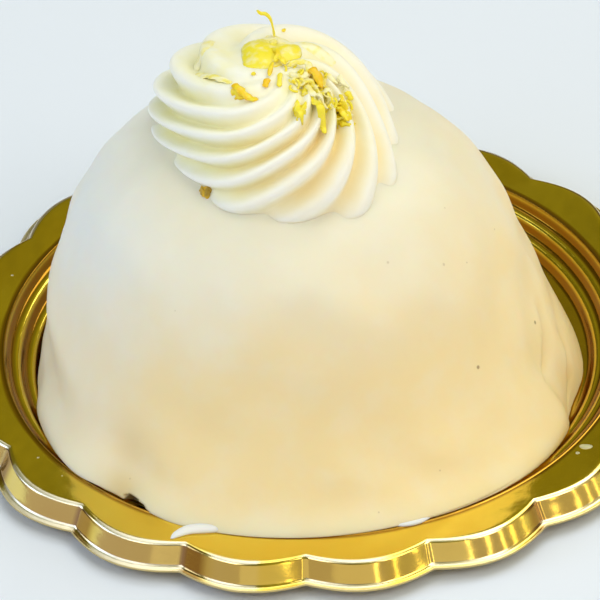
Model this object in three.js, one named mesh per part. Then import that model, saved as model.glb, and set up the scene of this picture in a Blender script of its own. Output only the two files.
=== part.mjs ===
// A single-portion lemon pudding: a tall, rounded dome of sponge under a smooth
// glaze, with a swirl of piped cream on top, on its own thin metallised plate
// with a scalloped edge. Millimetres, +Z up. The origin lies under the middle of
// the plate, on the surface that it stands on.
import * as THREE from 'three';
import { mergeVertices } from 'three/addons/utils/BufferGeometryUtils.js';

// Plate
const plateThickness = 0.6;
const stepCount = 3;
const stepRise = 1.4;
const stepPitch = 2.0;
const stepRiserWidth = 0.8;
const rimInnerRadius = 43;
const beadHeight = 0.25;
const beadWidth = 0.9;
const rimCuspRadius = 47.3;
const scallopCount = 18;
const scallopDepth = 2.0;
const scallopStartAngle = THREE.MathUtils.degToRad(-152.8);
const skirtFlare = 2.4;
const skirtDrop = 1.9;
const lipWidth = 0.5;
const columnsPerScallop = 5;

// Pudding
const domeBaseRadius = 37.8;
const domeHeight = 43.5;
const domeTaper = 0.304;
const domeShoulderPower = 8.2;
const domeCentre = new THREE.Vector2(-1.4, -0.4);
const domeLean = -0.06;
const domeFootLevels = [1.6, 3.2, 4.6, 7];
const domeColumns = 60;
const domeRows = 15;

// Where the glaze stands out from the plain dome (depth above 0) or falls in.
// Each place is centred at an angle and a height: spread is its half width in
// degrees, and reach its half height. The pool runs along the whole front.
const glazePool = { angle: -85, height: 2.5, spread: 72, reach: 8, depth: 5.2 };
const glazeFolds = [
  { name: 'right crease', angle: -21, height: 6, spread: 6, reach: 8, depth: -0.9 },
  { name: 'left belly', angle: 185, height: 17, spread: 40, reach: 8, depth: 0.5 },
  { name: 'left waist', angle: 190, height: 6.5, spread: 35, reach: 3, depth: -0.6 },
  { name: 'front hollow', angle: -126, height: 5, spread: 8, reach: 6, depth: -1.1 },
];

// Cream swirl
const swirlCentre = new THREE.Vector2(0, -1.5);
const swirlRadius = 18.3;
const swirlTopHeight = 52.7;
const swirlSideFullness = 0.655;
const swirlTopFullness = 1.2;
const swirlRidgeCount = 11;
const swirlRidgeStart = THREE.MathUtils.degToRad(127);
const swirlTwist = THREE.MathUtils.degToRad(158);
const swirlTwistPower = 0.85;
const swirlTwistEase = 0.23;
const swirlTwistEaseAngle = THREE.MathUtils.degToRad(116);
const swirlOffset = 0.263;
const swirlOffsetAngle = THREE.MathUtils.degToRad(132);
const swirlStretch = 0.161;
const swirlStretchAngle = THREE.MathUtils.degToRad(110);
const swirlTipShift = new THREE.Vector2(-3.1, -2.1);
const swirlRidgeDepth = 0.1;
const swirlColumnsPerRidge = 8;
const swirlRows = 13;
const swirlUndersideRows = 5;
const restGap = 0.3;

const plateFloor = plateThickness;
const plateFloorRadius = rimInnerRadius - (stepCount - 1) * stepPitch - stepRiserWidth;
const rimTop = plateFloor + stepCount * stepRise;
const fullTurn = 2 * Math.PI;

// A closed body turned about the vertical axis. The profile runs from the axis,
// under the body, round its edge and back to the axis; place() then moves each
// point of it to its true position.
function turnedBody(profile, columns, place) {
  const geometry = new THREE.LatheGeometry(profile, columns);
  const position = geometry.attributes.position;
  for (let index = 0; index < position.count; index += 1) {
    const row = index % profile.length;
    const column = Math.floor(index / profile.length) % columns;
    const point = place(profile[row], column * fullTurn / columns, row);
    position.setXYZ(index, point.x, point.y, point.z);
  }
  geometry.deleteAttribute('normal');
  geometry.deleteAttribute('uv');
  return mergeVertices(geometry, 1e-5);
}

// The same line moved sideways by a distance, with its corners kept sharp.
function offsetLine(points, distance) {
  return points.map((point, index) => {
    const before = points[Math.max(index - 1, 0)];
    const after = points[Math.min(index + 1, points.length - 1)];
    const into = point.clone().sub(before).normalize();
    const out = after.clone().sub(point).normalize();
    const along = into.add(out).normalize();
    const normal = new THREE.Vector2(-along.y, along.x);
    return point.clone().addScaledVector(normal, distance);
  });
}

// Plate: a sunken round floor, three concentric steps, a flat rim and a short
// flared skirt that ends in a narrow lip.
function plateUpperLine() {
  const line = [new THREE.Vector2(0, plateFloor)];
  for (let step = 0; step < stepCount; step += 1) {
    const radius = plateFloorRadius + step * stepPitch;
    const height = plateFloor + step * stepRise;
    line.push(new THREE.Vector2(radius, height));
    line.push(new THREE.Vector2(radius + stepRiserWidth, height + stepRise));
  }
  line.push(new THREE.Vector2(rimInnerRadius + beadWidth / 2, rimTop + beadHeight));
  line.push(new THREE.Vector2(rimInnerRadius + beadWidth, rimTop));
  line.push(new THREE.Vector2(rimCuspRadius, rimTop));
  line.push(new THREE.Vector2(rimCuspRadius + skirtFlare, rimTop - skirtDrop));
  line.push(new THREE.Vector2(rimCuspRadius + skirtFlare + lipWidth, rimTop - skirtDrop));
  return line;
}

// How far the edge stands out at an angle: 0 in a cusp, the full depth on a lobe.
function scallop(angle) {
  const phase = (angle - scallopStartAngle) * scallopCount / 2;
  return scallopDepth * Math.abs(Math.sin(phase));
}

function plateGeometry() {
  const upper = plateUpperLine();
  const lower = offsetLine(upper, -plateThickness);
  lower[0].x = 0;
  const profile = [...lower, ...upper.reverse()];
  const columns = scallopCount * columnsPerScallop;
  const rimWidth = rimCuspRadius - rimInnerRadius - beadWidth;
  return turnedBody(profile, columns, (point, turn) => {
    const angle = scallopStartAngle + turn;
    const beyondBead = (point.x - rimInnerRadius - beadWidth) / rimWidth;
    const share = THREE.MathUtils.clamp(beyondBead, 0, 1);
    const radius = point.x + share * scallop(angle);
    return new THREE.Vector3(radius * Math.cos(angle), radius * Math.sin(angle), point.y);
  });
}

// Pudding: straight tapered sides that turn over into a rounded top.
function domeRadius(height) {
  const share = THREE.MathUtils.clamp(height / domeHeight, 0, 1);
  return (domeBaseRadius - domeTaper * height) * (1 - share ** domeShoulderPower);
}

function bell(distance, width) {
  return Math.exp(-((distance / width) ** 2));
}

function angleBetween(first, second) {
  const difference = first - second;
  return Math.atan2(Math.sin(difference), Math.cos(difference));
}

// How far an angle lies from the middle of a fold, in half widths of the fold.
function turnsAway(angle, fold) {
  const middle = THREE.MathUtils.degToRad(fold.angle);
  return angleBetween(angle, middle) / THREE.MathUtils.degToRad(fold.spread);
}

function glazeRelief(angle, height) {
  const flatTopped = bell(turnsAway(angle, glazePool) ** 2, 1);
  const pool = glazePool.depth * flatTopped * bell(height - glazePool.height, glazePool.reach);
  return glazeFolds.reduce((sum, fold) => {
    const around = bell(turnsAway(angle, fold), 1);
    return sum + fold.depth * around * bell(height - fold.height, fold.reach);
  }, pool);
}

// How far from the plate's axis the pudding may reach at a height above the
// floor: a line that passes just inside the edges of the steps.
function clearRadius(height) {
  const slope = stepPitch / stepRise;
  const gap = restGap * Math.hypot(1, slope);
  const line = plateFloorRadius + stepRiserWidth - stepPitch - gap + height * slope;
  return height > stepCount * stepRise ? Infinity : line;
}

function domeProfile() {
  const heights = [0, ...domeFootLevels];
  const shoulderStart = domeFootLevels.at(-1);
  for (let row = 1; row < domeRows; row += 1) {
    const rise = Math.sin(row / domeRows * Math.PI / 2);
    heights.push(shoulderStart + (domeHeight - shoulderStart) * rise);
  }
  const side = heights.map((height) => new THREE.Vector2(domeRadius(height), height));
  return [new THREE.Vector2(0, 0), ...side, new THREE.Vector2(0, domeHeight)];
}

function domeGeometry() {
  return turnedBody(domeProfile(), domeColumns, (point, angle) => {
    const height = point.y;
    const radius = point.x > 0 ? point.x + glazeRelief(angle, height) : 0;
    const place = new THREE.Vector2(Math.cos(angle), Math.sin(angle));
    place.multiplyScalar(radius);
    place.add(domeCentre);
    place.x += domeLean * height;
    place.clampLength(0, clearRadius(height));
    return new THREE.Vector3(place.x, place.y, plateFloor + height);
  });
}

// Height of the pudding's top above the ground at a place, found by halving.
function domeTopAt(x, y) {
  let low = domeHeight / 3;
  let high = domeHeight;
  for (let pass = 0; pass < 40; pass += 1) {
    const middle = (low + high) / 2;
    const across = Math.hypot(x - domeCentre.x - domeLean * middle, y - domeCentre.y);
    if (across < domeRadius(middle)) low = middle;
    else high = middle;
  }
  return plateFloor + low;
}

// Cream swirl: ridges that leave the tip and wind clockwise down to the outline.
function swirlOutline(angle) {
  const offset = swirlOffset * Math.cos(angle - swirlOffsetAngle);
  const stretch = swirlStretch * Math.cos(2 * (angle - swirlStretchAngle));
  return swirlRadius * (1 + offset + stretch);
}

// Between ridges the cream falls in: 0 on a crest, 1 in a groove.
function groove(turn) {
  const phase = (turn - swirlRidgeStart) * swirlRidgeCount;
  return (0.5 - 0.5 * Math.cos(phase)) ** 0.8;
}

function swirlPlan(turn, share) {
  const ease = 1 + swirlTwistEase * Math.cos(turn - swirlTwistEaseAngle);
  const angle = turn + swirlTwist * (1 - share ** swirlTwistPower) * ease;
  const depth = swirlRidgeDepth * Math.min(1, 2.5 * share) * groove(turn);
  const spread = Math.sin(share * Math.PI / 2) ** swirlSideFullness;
  const radius = swirlOutline(angle) * spread * (1 - depth);
  const shift = 1 - share * share;
  return {
    x: swirlCentre.x + swirlTipShift.x * shift + radius * Math.cos(angle),
    y: swirlCentre.y + swirlTipShift.y * shift + radius * Math.sin(angle),
    depth,
  };
}

function swirlPoint(turn, share) {
  const edge = swirlPlan(turn, 1);
  const plan = swirlPlan(turn, share);
  const edgeHeight = domeTopAt(edge.x, edge.y) + restGap;
  const rise = Math.max(Math.cos(share * Math.PI / 2), 0) ** swirlTopFullness;
  const height = edgeHeight + (swirlTopHeight - edgeHeight) * rise * (1 - plan.depth);
  return new THREE.Vector3(plan.x, plan.y, height);
}

function swirlUnderside(turn, share) {
  const edge = swirlPlan(turn, 1);
  const x = THREE.MathUtils.lerp(swirlCentre.x, edge.x, share);
  const y = THREE.MathUtils.lerp(swirlCentre.y, edge.y, share);
  return new THREE.Vector3(x, y, domeTopAt(x, y) + restGap);
}

function swirlGeometry() {
  const profile = [];
  for (let row = 0; row < swirlUndersideRows; row += 1) {
    profile.push(new THREE.Vector2(swirlRadius * row / swirlUndersideRows, 0));
  }
  for (let row = swirlRows; row >= 0; row -= 1) {
    profile.push(new THREE.Vector2(swirlRadius * row / swirlRows, 1));
  }
  const columns = swirlRidgeCount * swirlColumnsPerRidge;
  return turnedBody(profile, columns, (point, turn) => {
    const share = point.x / swirlRadius;
    return point.y === 0 ? swirlUnderside(turn, share) : swirlPoint(turn, share);
  });
}

function addPiece(group, name, geometry, colour, roughness, metalness) {
  const material = new THREE.MeshStandardMaterial({ color: colour, roughness, metalness });
  const mesh = new THREE.Mesh(geometry, material);
  mesh.name = name;
  group.add(mesh);
}

const pudding = new THREE.Group();
addPiece(pudding, 'gold_plate', plateGeometry(), 0xc79a2e, 0.22, 1.0);
addPiece(pudding, 'glazed_dome', domeGeometry(), 0xf2e6c4, 0.35, 0.0);
addPiece(pudding, 'cream_swirl', swirlGeometry(), 0xfaf3dc, 0.5, 0.0);

export default pudding;
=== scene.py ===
"""Lemon pudding on a gilt card plate.

A steep dome of mousse under lemon glaze stands in a stepped plate of gold film on card, with a
piped rosette of cream and fine lemon zest on top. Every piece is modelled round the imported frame,
in metres, with +Z up and the middle of the plate's underside at the origin.
"""

import sys
import logging
import math
from collections.abc import Sequence
from dataclasses import dataclass, field
from enum import Enum

import bmesh
import bpy
import numpy as np
from mathutils import Matrix, Vector
from mathutils.bvhtree import BVHTree


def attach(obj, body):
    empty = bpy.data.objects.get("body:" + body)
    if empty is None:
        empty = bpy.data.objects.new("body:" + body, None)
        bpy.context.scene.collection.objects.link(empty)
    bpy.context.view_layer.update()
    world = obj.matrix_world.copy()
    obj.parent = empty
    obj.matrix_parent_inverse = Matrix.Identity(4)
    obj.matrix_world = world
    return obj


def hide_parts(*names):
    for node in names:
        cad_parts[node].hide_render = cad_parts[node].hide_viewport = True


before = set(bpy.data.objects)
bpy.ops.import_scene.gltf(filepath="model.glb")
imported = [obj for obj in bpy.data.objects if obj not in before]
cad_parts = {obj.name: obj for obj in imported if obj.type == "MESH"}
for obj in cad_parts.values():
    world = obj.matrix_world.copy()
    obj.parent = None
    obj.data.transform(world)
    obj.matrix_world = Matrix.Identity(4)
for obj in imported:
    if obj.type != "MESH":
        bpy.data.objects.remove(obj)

MM = 0.001
BODY = "root"
RGB = tuple[float, float, float]

log = logging.getLogger("lemon_pudding")


class Slot(Enum):
    """The record's material slots that the pieces take their finishes from."""

    GOLD_FILM = "gold_film"
    LEMON_GLAZE = "lemon_glaze"
    PIPED_CREAM = "piped_cream"
    LEMON_ZEST = "lemon_zest"


# ---- Shared helpers: node trees, meshes and pieces ----


class NodeGraph:
    """Adds nodes to a tree and joins them, so that a tree reads from top to bottom."""

    def __init__(self, tree: bpy.types.NodeTree) -> None:
        """Keeps the tree.

        Args:
            tree: The shader or geometry tree that the nodes go into.
        """
        self.tree = tree

    def add(
        self, kind: str, inputs: dict[str | int, object] | None = None, **settings: object
    ) -> bpy.types.Node:
        """Adds one node.

        Args:
            kind: The node's Blender type.
            inputs: For each socket a plain value, or an output socket to link to it.
            settings: The node's own properties.

        Returns:
            The new node.
        """
        node = self.tree.nodes.new(kind)
        for name, value in settings.items():
            setattr(node, name, value)
        for key, value in (inputs or {}).items():
            self.feed(node.inputs[key], value)
        return node

    def feed(self, socket: bpy.types.NodeSocket, value: object) -> None:
        """Sets a socket's value, or links an output to it.

        Args:
            socket: The input socket.
            value: A plain value or an output socket.
        """
        if isinstance(value, bpy.types.NodeSocket):
            self.tree.links.new(value, socket)
        else:
            socket.default_value = value

    def math(self, operation: str, *values: object, clamp: bool = False) -> bpy.types.NodeSocket:
        """Adds a Math node.

        Args:
            operation: The Math node's operation.
            values: Its operands, as numbers or output sockets.
            clamp: Whether the result is kept between 0 and 1.

        Returns:
            The node's output.
        """
        node = self.add("ShaderNodeMath", dict(enumerate(values)), operation=operation, use_clamp=clamp)
        return node.outputs[0]

    def vector(self, operation: str, *values: object, scale: object = None) -> bpy.types.NodeSocket:
        """Adds a Vector Math node.

        Args:
            operation: The node's operation.
            values: Its vector operands.
            scale: The factor, for the SCALE operation.

        Returns:
            The node's output: a distance for DISTANCE, and a vector otherwise.
        """
        node = self.add("ShaderNodeVectorMath", dict(enumerate(values)), operation=operation)
        if scale is not None:
            self.feed(node.inputs["Scale"], scale)
        return node.outputs["Value" if operation == "DISTANCE" else "Vector"]

    def span(
        self, value: object, low: float, high: float, start: float = 0.0, end: float = 1.0
    ) -> bpy.types.NodeSocket:
        """Turns a range of values smoothly into another one.

        Args:
            value: The socket to read.
            low: The value that gives start.
            high: The value that gives end.
            start: The result at low.
            end: The result at high.

        Returns:
            The mapped value.
        """
        sockets = {"Value": value, "From Min": low, "From Max": high, "To Min": start, "To Max": end}
        return self.add("ShaderNodeMapRange", sockets, interpolation_type="SMOOTHSTEP").outputs["Result"]

    def mix(self, factor: object, a: object, b: object) -> bpy.types.NodeSocket:
        """Mixes two colours.

        Args:
            factor: How much of the second colour shows.
            a: The first colour.
            b: The second colour.

        Returns:
            The mixed colour.
        """
        node = self.add("ShaderNodeMix", data_type="RGBA")
        colours = [socket for socket in node.inputs if socket.type == "RGBA"]
        self.feed(node.inputs[0], factor)
        self.feed(colours[0], rgba(a))
        self.feed(colours[1], rgba(b))
        return next(socket for socket in node.outputs if socket.type == "RGBA")

    def mark(self, name: str) -> bpy.types.NodeSocket:
        """Returns the number that a mesh carries at each of its points under a name."""
        if self.tree.bl_idname == "GeometryNodeTree":
            return self.add("GeometryNodeInputNamedAttribute", {"Name": name}, data_type="FLOAT").outputs[0]
        return self.add("ShaderNodeAttribute", attribute_name=name).outputs["Fac"]


def rgba(colour: object) -> object:
    """Returns a colour of three numbers with an opaque alpha, and a socket as it is."""
    return (*colour, 1.0) if isinstance(colour, tuple) and len(colour) == 3 else colour


class SurfaceGraph(NodeGraph):
    """A material's tree, with its Principled shader and its pattern coordinates at hand."""

    def __init__(self, name: str) -> None:
        """Makes the material.

        Args:
            name: The material's name.
        """
        self.material = bpy.data.materials.new(name)
        self.material.use_nodes = True
        super().__init__(self.material.node_tree)
        self.tree.nodes.clear()
        self.shader = self.add("ShaderNodeBsdfPrincipled")
        self.add("ShaderNodeOutputMaterial", {"Surface": self.shader.outputs["BSDF"]})
        self.place = self.add("ShaderNodeTexCoord").outputs["Object"]

    def set(self, **values: object) -> None:
        """Sets the shader's sockets, with underscores for the spaces in their names.

        Args:
            values: For each socket a value or an output socket.
        """
        for name, value in values.items():
            self.feed(self.shader.inputs[name.replace("_", " ")], value)

    def noise(self, size: float, detail: float = 2.0, stretch: RGB = (1.0, 1.0, 1.0)) -> bpy.types.NodeSocket:
        """Adds noise in the piece's own coordinates.

        Args:
            size: The size of its patches, in metres.
            detail: How many finer layers it has.
            stretch: How much denser it runs along each axis.

        Returns:
            The noise, from 0 to 1.
        """
        place = self.add("ShaderNodeMapping", {"Vector": self.place, "Scale": stretch}).outputs["Vector"]
        sockets = {"Vector": place, "Scale": 1.0 / size, "Detail": detail}
        return self.add("ShaderNodeTexNoise", sockets).outputs[0]

    def along(self, axis: str) -> bpy.types.NodeSocket:
        """Returns the place along an axis, "X", "Y" or "Z", in metres."""
        return self.add("ShaderNodeSeparateXYZ", {0: self.place}).outputs[axis]

    def bump(self, height: object, depth: float, below: object = None) -> bpy.types.NodeSocket:
        """Adds a Bump node.

        Args:
            height: The pattern, from 0 to 1.
            depth: The depth of the relief, in metres.
            below: The normal of a coarser relief under it.

        Returns:
            The bent normal.
        """
        node = self.add("ShaderNodeBump", {"Height": height, "Distance": depth, "Strength": 1.0})
        if below is not None:
            self.feed(node.inputs["Normal"], below)
        return node.outputs["Normal"]


def loft(
    name: str, rings: Sequence[np.ndarray], attributes: dict[str, np.ndarray] | None = None
) -> bpy.types.Object:
    """Makes a closed skin over rings of points whose first and last close to a point.

    Args:
        name: The piece's name.
        rings: Rows of points, in metres, each (columns, 3), the first and the last of one point.
        attributes: Numbers for each point, in the order of the rings, stored under their names.

    Returns:
        The new object, smoothly shaded, with its faces outwards.
    """
    starts = np.cumsum([0] + [len(ring) for ring in rings])
    columns = max(len(ring) for ring in rings)
    faces = []
    for row in range(len(rings) - 1):
        low, high = starts[row], starts[row + 1]
        for column in range(columns):
            after = (column + 1) % columns
            if len(rings[row]) == 1:
                faces.append((low, high + after, high + column))
            elif len(rings[row + 1]) == 1:
                faces.append((low + column, low + after, high))
            else:
                faces.append((low + column, low + after, high + after, high + column))
    mesh = bpy.data.meshes.new(name)
    mesh.from_pydata(np.concatenate(rings).tolist(), [], faces)
    for key, values in (attributes or {}).items():
        kind = "FLOAT" if values.ndim == 1 else "FLOAT_VECTOR"
        layer = mesh.attributes.new(key, kind, "POINT")
        layer.data.foreach_set("value" if kind == "FLOAT" else "vector", values.ravel().astype(np.float32))
    return outward(bpy.data.objects.new(name, mesh))


def capped(rings: Sequence[np.ndarray]) -> list[np.ndarray]:
    """Returns a tube's rings with the middle of its first and last ring added at its ends."""
    first, last = (ring.mean(axis=0, keepdims=True) for ring in (rings[0], rings[-1]))
    return [first, *rings, last]


def outward(piece: bpy.types.Object) -> bpy.types.Object:
    """Adds a piece to the scene with its faces turned outwards and smoothly shaded.

    Args:
        piece: A mesh object of closed skins.

    Returns:
        The same object.
    """
    if piece.name not in bpy.context.scene.collection.objects:
        bpy.context.scene.collection.objects.link(piece)
    work = bmesh.new()
    work.from_mesh(piece.data)
    bmesh.ops.recalc_face_normals(work, faces=work.faces)
    work.to_mesh(piece.data)
    work.free()
    piece.data.polygons.foreach_set("use_smooth", [True] * len(piece.data.polygons))
    return piece


def bake_nodes(
    piece: bpy.types.Object, tree: bpy.types.NodeTree, inputs: dict[str, object]
) -> bpy.types.Object:
    """Runs a Geometry Nodes tree on a piece and keeps the result as its plain mesh.

    Args:
        piece: The object that the tree works on.
        tree: The tree.
        inputs: The values of the tree's named inputs.

    Returns:
        The same object, without the modifier.
    """
    modifier = piece.modifiers.new("shape", "NODES")
    modifier.node_group = tree
    for item in tree.interface.items_tree:
        if item.item_type == "SOCKET" and item.in_out == "INPUT" and item.name in inputs:
            modifier[item.identifier] = inputs[item.name]
    depsgraph = bpy.context.evaluated_depsgraph_get()
    shaped = piece.evaluated_get(depsgraph)
    mesh = bpy.data.meshes.new_from_object(shaped, preserve_all_data_layers=True, depsgraph=depsgraph)
    piece.modifiers.remove(modifier)
    piece.data = mesh
    return outward(piece)


def geometry_tree(name: str, inputs: dict[str, str]) -> tuple[NodeGraph, dict[str, bpy.types.NodeSocket]]:
    """Starts a Geometry Nodes tree.

    Args:
        name: The tree's name.
        inputs: The name and the socket type of each input after the geometry.

    Returns:
        The graph, and its input sockets by name.
    """
    tree = bpy.data.node_groups.new(name, "GeometryNodeTree")
    tree.interface.new_socket("Geometry", in_out="INPUT", socket_type="NodeSocketGeometry")
    tree.interface.new_socket("Geometry", in_out="OUTPUT", socket_type="NodeSocketGeometry")
    for label, kind in inputs.items():
        tree.interface.new_socket(label, in_out="INPUT", socket_type=kind)
    graph = NodeGraph(tree)
    group = graph.add("NodeGroupInput")
    return graph, {socket.name: socket for socket in group.outputs if socket.name}


def close_tree(
    graph: NodeGraph, geometry: bpy.types.NodeSocket, finish: bpy.types.NodeSocket
) -> bpy.types.NodeTree:
    """Ends a Geometry Nodes tree with real geometry that wears its material.

    Args:
        graph: The tree's graph.
        geometry: The geometry to give out.
        finish: The material's socket.

    Returns:
        The finished tree.
    """
    real = graph.add("GeometryNodeRealizeInstances", {"Geometry": geometry}).outputs[0]
    dressed = graph.add("GeometryNodeSetMaterial", {"Geometry": real, "Material": finish}).outputs[0]
    graph.add("NodeGroupOutput", {0: dressed})
    return graph.tree


def enter(piece: bpy.types.Object, slot: Slot, *nodes: str) -> None:
    """Tells the frame about a finished piece.

    Args:
        piece: The piece, in its place.
        slot: The record's slot that it takes its finish from.
        nodes: The CAD nodes that it stands for.
    """
    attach(piece, BODY)
    if nodes:
        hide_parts(*nodes)
    log.info("%s: %d faces, slot %s", piece.name, len(piece.data.polygons), slot.value)


def turns(columns: int, start: float = 0.0) -> np.ndarray:
    """Returns evenly spread angles round a full turn, in radians, from a start angle."""
    return start + np.arange(columns) * 2.0 * math.pi / columns


def bell(distance: np.ndarray | float, width: float) -> np.ndarray | float:
    """Returns a smooth rise that is 1 at no distance and falls off over a width."""
    return np.exp(-((distance / width) ** 2))


def wrapped(angle: np.ndarray | float) -> np.ndarray | float:
    """Returns an angle brought between -pi and pi."""
    return (np.asarray(angle) + math.pi) % (2.0 * math.pi) - math.pi


def noise_field(points: np.ndarray, size: float, seed: int, waves: int = 24) -> np.ndarray:
    """Sums random plane waves into a smooth uneven field.

    Args:
        points: The places to read, (count, 3), in metres.
        size: The usual distance between its swells, in metres.
        seed: The random seed.
        waves: How many waves it sums.

    Returns:
        One value for each point, mostly between -1 and 1.
    """
    random = np.random.default_rng(seed)
    directions = random.normal(size=(waves, 3))
    directions /= np.linalg.norm(directions, axis=1)[:, None]
    pitches = random.uniform(0.7, 1.5, size=waves)
    phases = random.uniform(0.0, 2.0 * math.pi, size=waves)
    reading = points @ (directions * (2.0 * math.pi / size * pitches)[:, None]).T + phases
    return np.cos(reading).sum(axis=1) * math.sqrt(2.0 / waves)


# ---- Finishes ----


@dataclass(frozen=True)
class GoldFilm:
    """Yellow lacquered metal film pressed onto card, with a highlight painted pale along the folds and shade
    painted brown in the creases.

    Attributes:
        colour: The film's colour.
        worn_colour: Its colour in large clouds, where the lacquer is thinner.
        painted_highlight: Its colour where a highlight is painted along the folds, the skirt's wall and the
            lip.
        crease_shade: Its colour where shade is painted: at the steps' feet, along the bead and beside the
            cusps.
        paper: The colour of the card's cut edge.
        roughness: The film's roughness.
        highlight_roughness: How rough it is where the highlight is painted, which spreads it.
        scuffed: How many times rougher its scuffs are.
        paper_roughness: The roughness of the cut edge.
        cloud: The size of the lacquer's clouds.
        scuff: The size of the scuffs.
        card_swell: The size of the card's dents.
        card_depth: The depth of the card's dents.
        grain: The size of the film's fine grain.
        grain_depth: The depth of that grain.
    """

    colour: RGB = (0.86, 0.64, 0.08)
    worn_colour: RGB = (0.84, 0.60, 0.065)
    painted_highlight: RGB = (0.93, 0.85, 0.66)
    crease_shade: RGB = (0.36, 0.17, 0.01)
    paper: RGB = (0.58, 0.47, 0.20)
    roughness: float = 0.125
    highlight_roughness: float = 0.34
    scuffed: float = 1.6
    paper_roughness: float = 0.6
    cloud: float = 14.0 * MM
    scuff: float = 1.1 * MM
    card_swell: float = 7.0 * MM
    card_depth: float = 0.16 * MM
    grain: float = 0.35 * MM
    grain_depth: float = 0.004 * MM

    def material(self) -> bpy.types.Material:
        """Builds the film's material, which reads from three attributes where the card is cut, where a
        highlight is painted pale and where shade is painted brown.
        """
        graph = SurfaceGraph("gold_film")
        cut, painted_highlight, crease = graph.mark("cut"), graph.mark("painted_highlight"), graph.mark("crease")
        cloud = graph.noise(self.cloud, 3.0)
        plain = graph.mix(graph.span(cloud, 0.4, 0.65), self.colour, self.worn_colour)
        # Painted shade browns the creases, and a painted highlight pales the folds, the skirt's wall and the
        # lip.
        film = graph.mix(painted_highlight, graph.mix(crease, plain, self.crease_shade), self.painted_highlight)
        scuffs = graph.noise(self.scuff, 4.0, (1.0, 5.0, 1.0))
        dull = graph.span(scuffs, 0.58, 0.75, self.roughness, self.roughness * self.scuffed)
        highlight_part = graph.math("MULTIPLY", painted_highlight, self.highlight_roughness)
        frayed = graph.math("MULTIPLY", cut, self.paper_roughness)
        graph.set(
            Base_Color=graph.mix(cut, film, self.paper),
            Metallic=graph.math("SUBTRACT", 1.0, cut, clamp=True),
            Roughness=graph.math("MAXIMUM", dull, graph.math("MAXIMUM", frayed, highlight_part)),
            Coat_Weight=0.15,
            Coat_Roughness=0.1,
            Coat_IOR=1.5,
        )
        card = graph.bump(graph.noise(self.card_swell, 2.0), self.card_depth)
        graph.set(Normal=graph.bump(graph.noise(self.grain, 2.0), self.grain_depth, card))
        return graph.material


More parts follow.
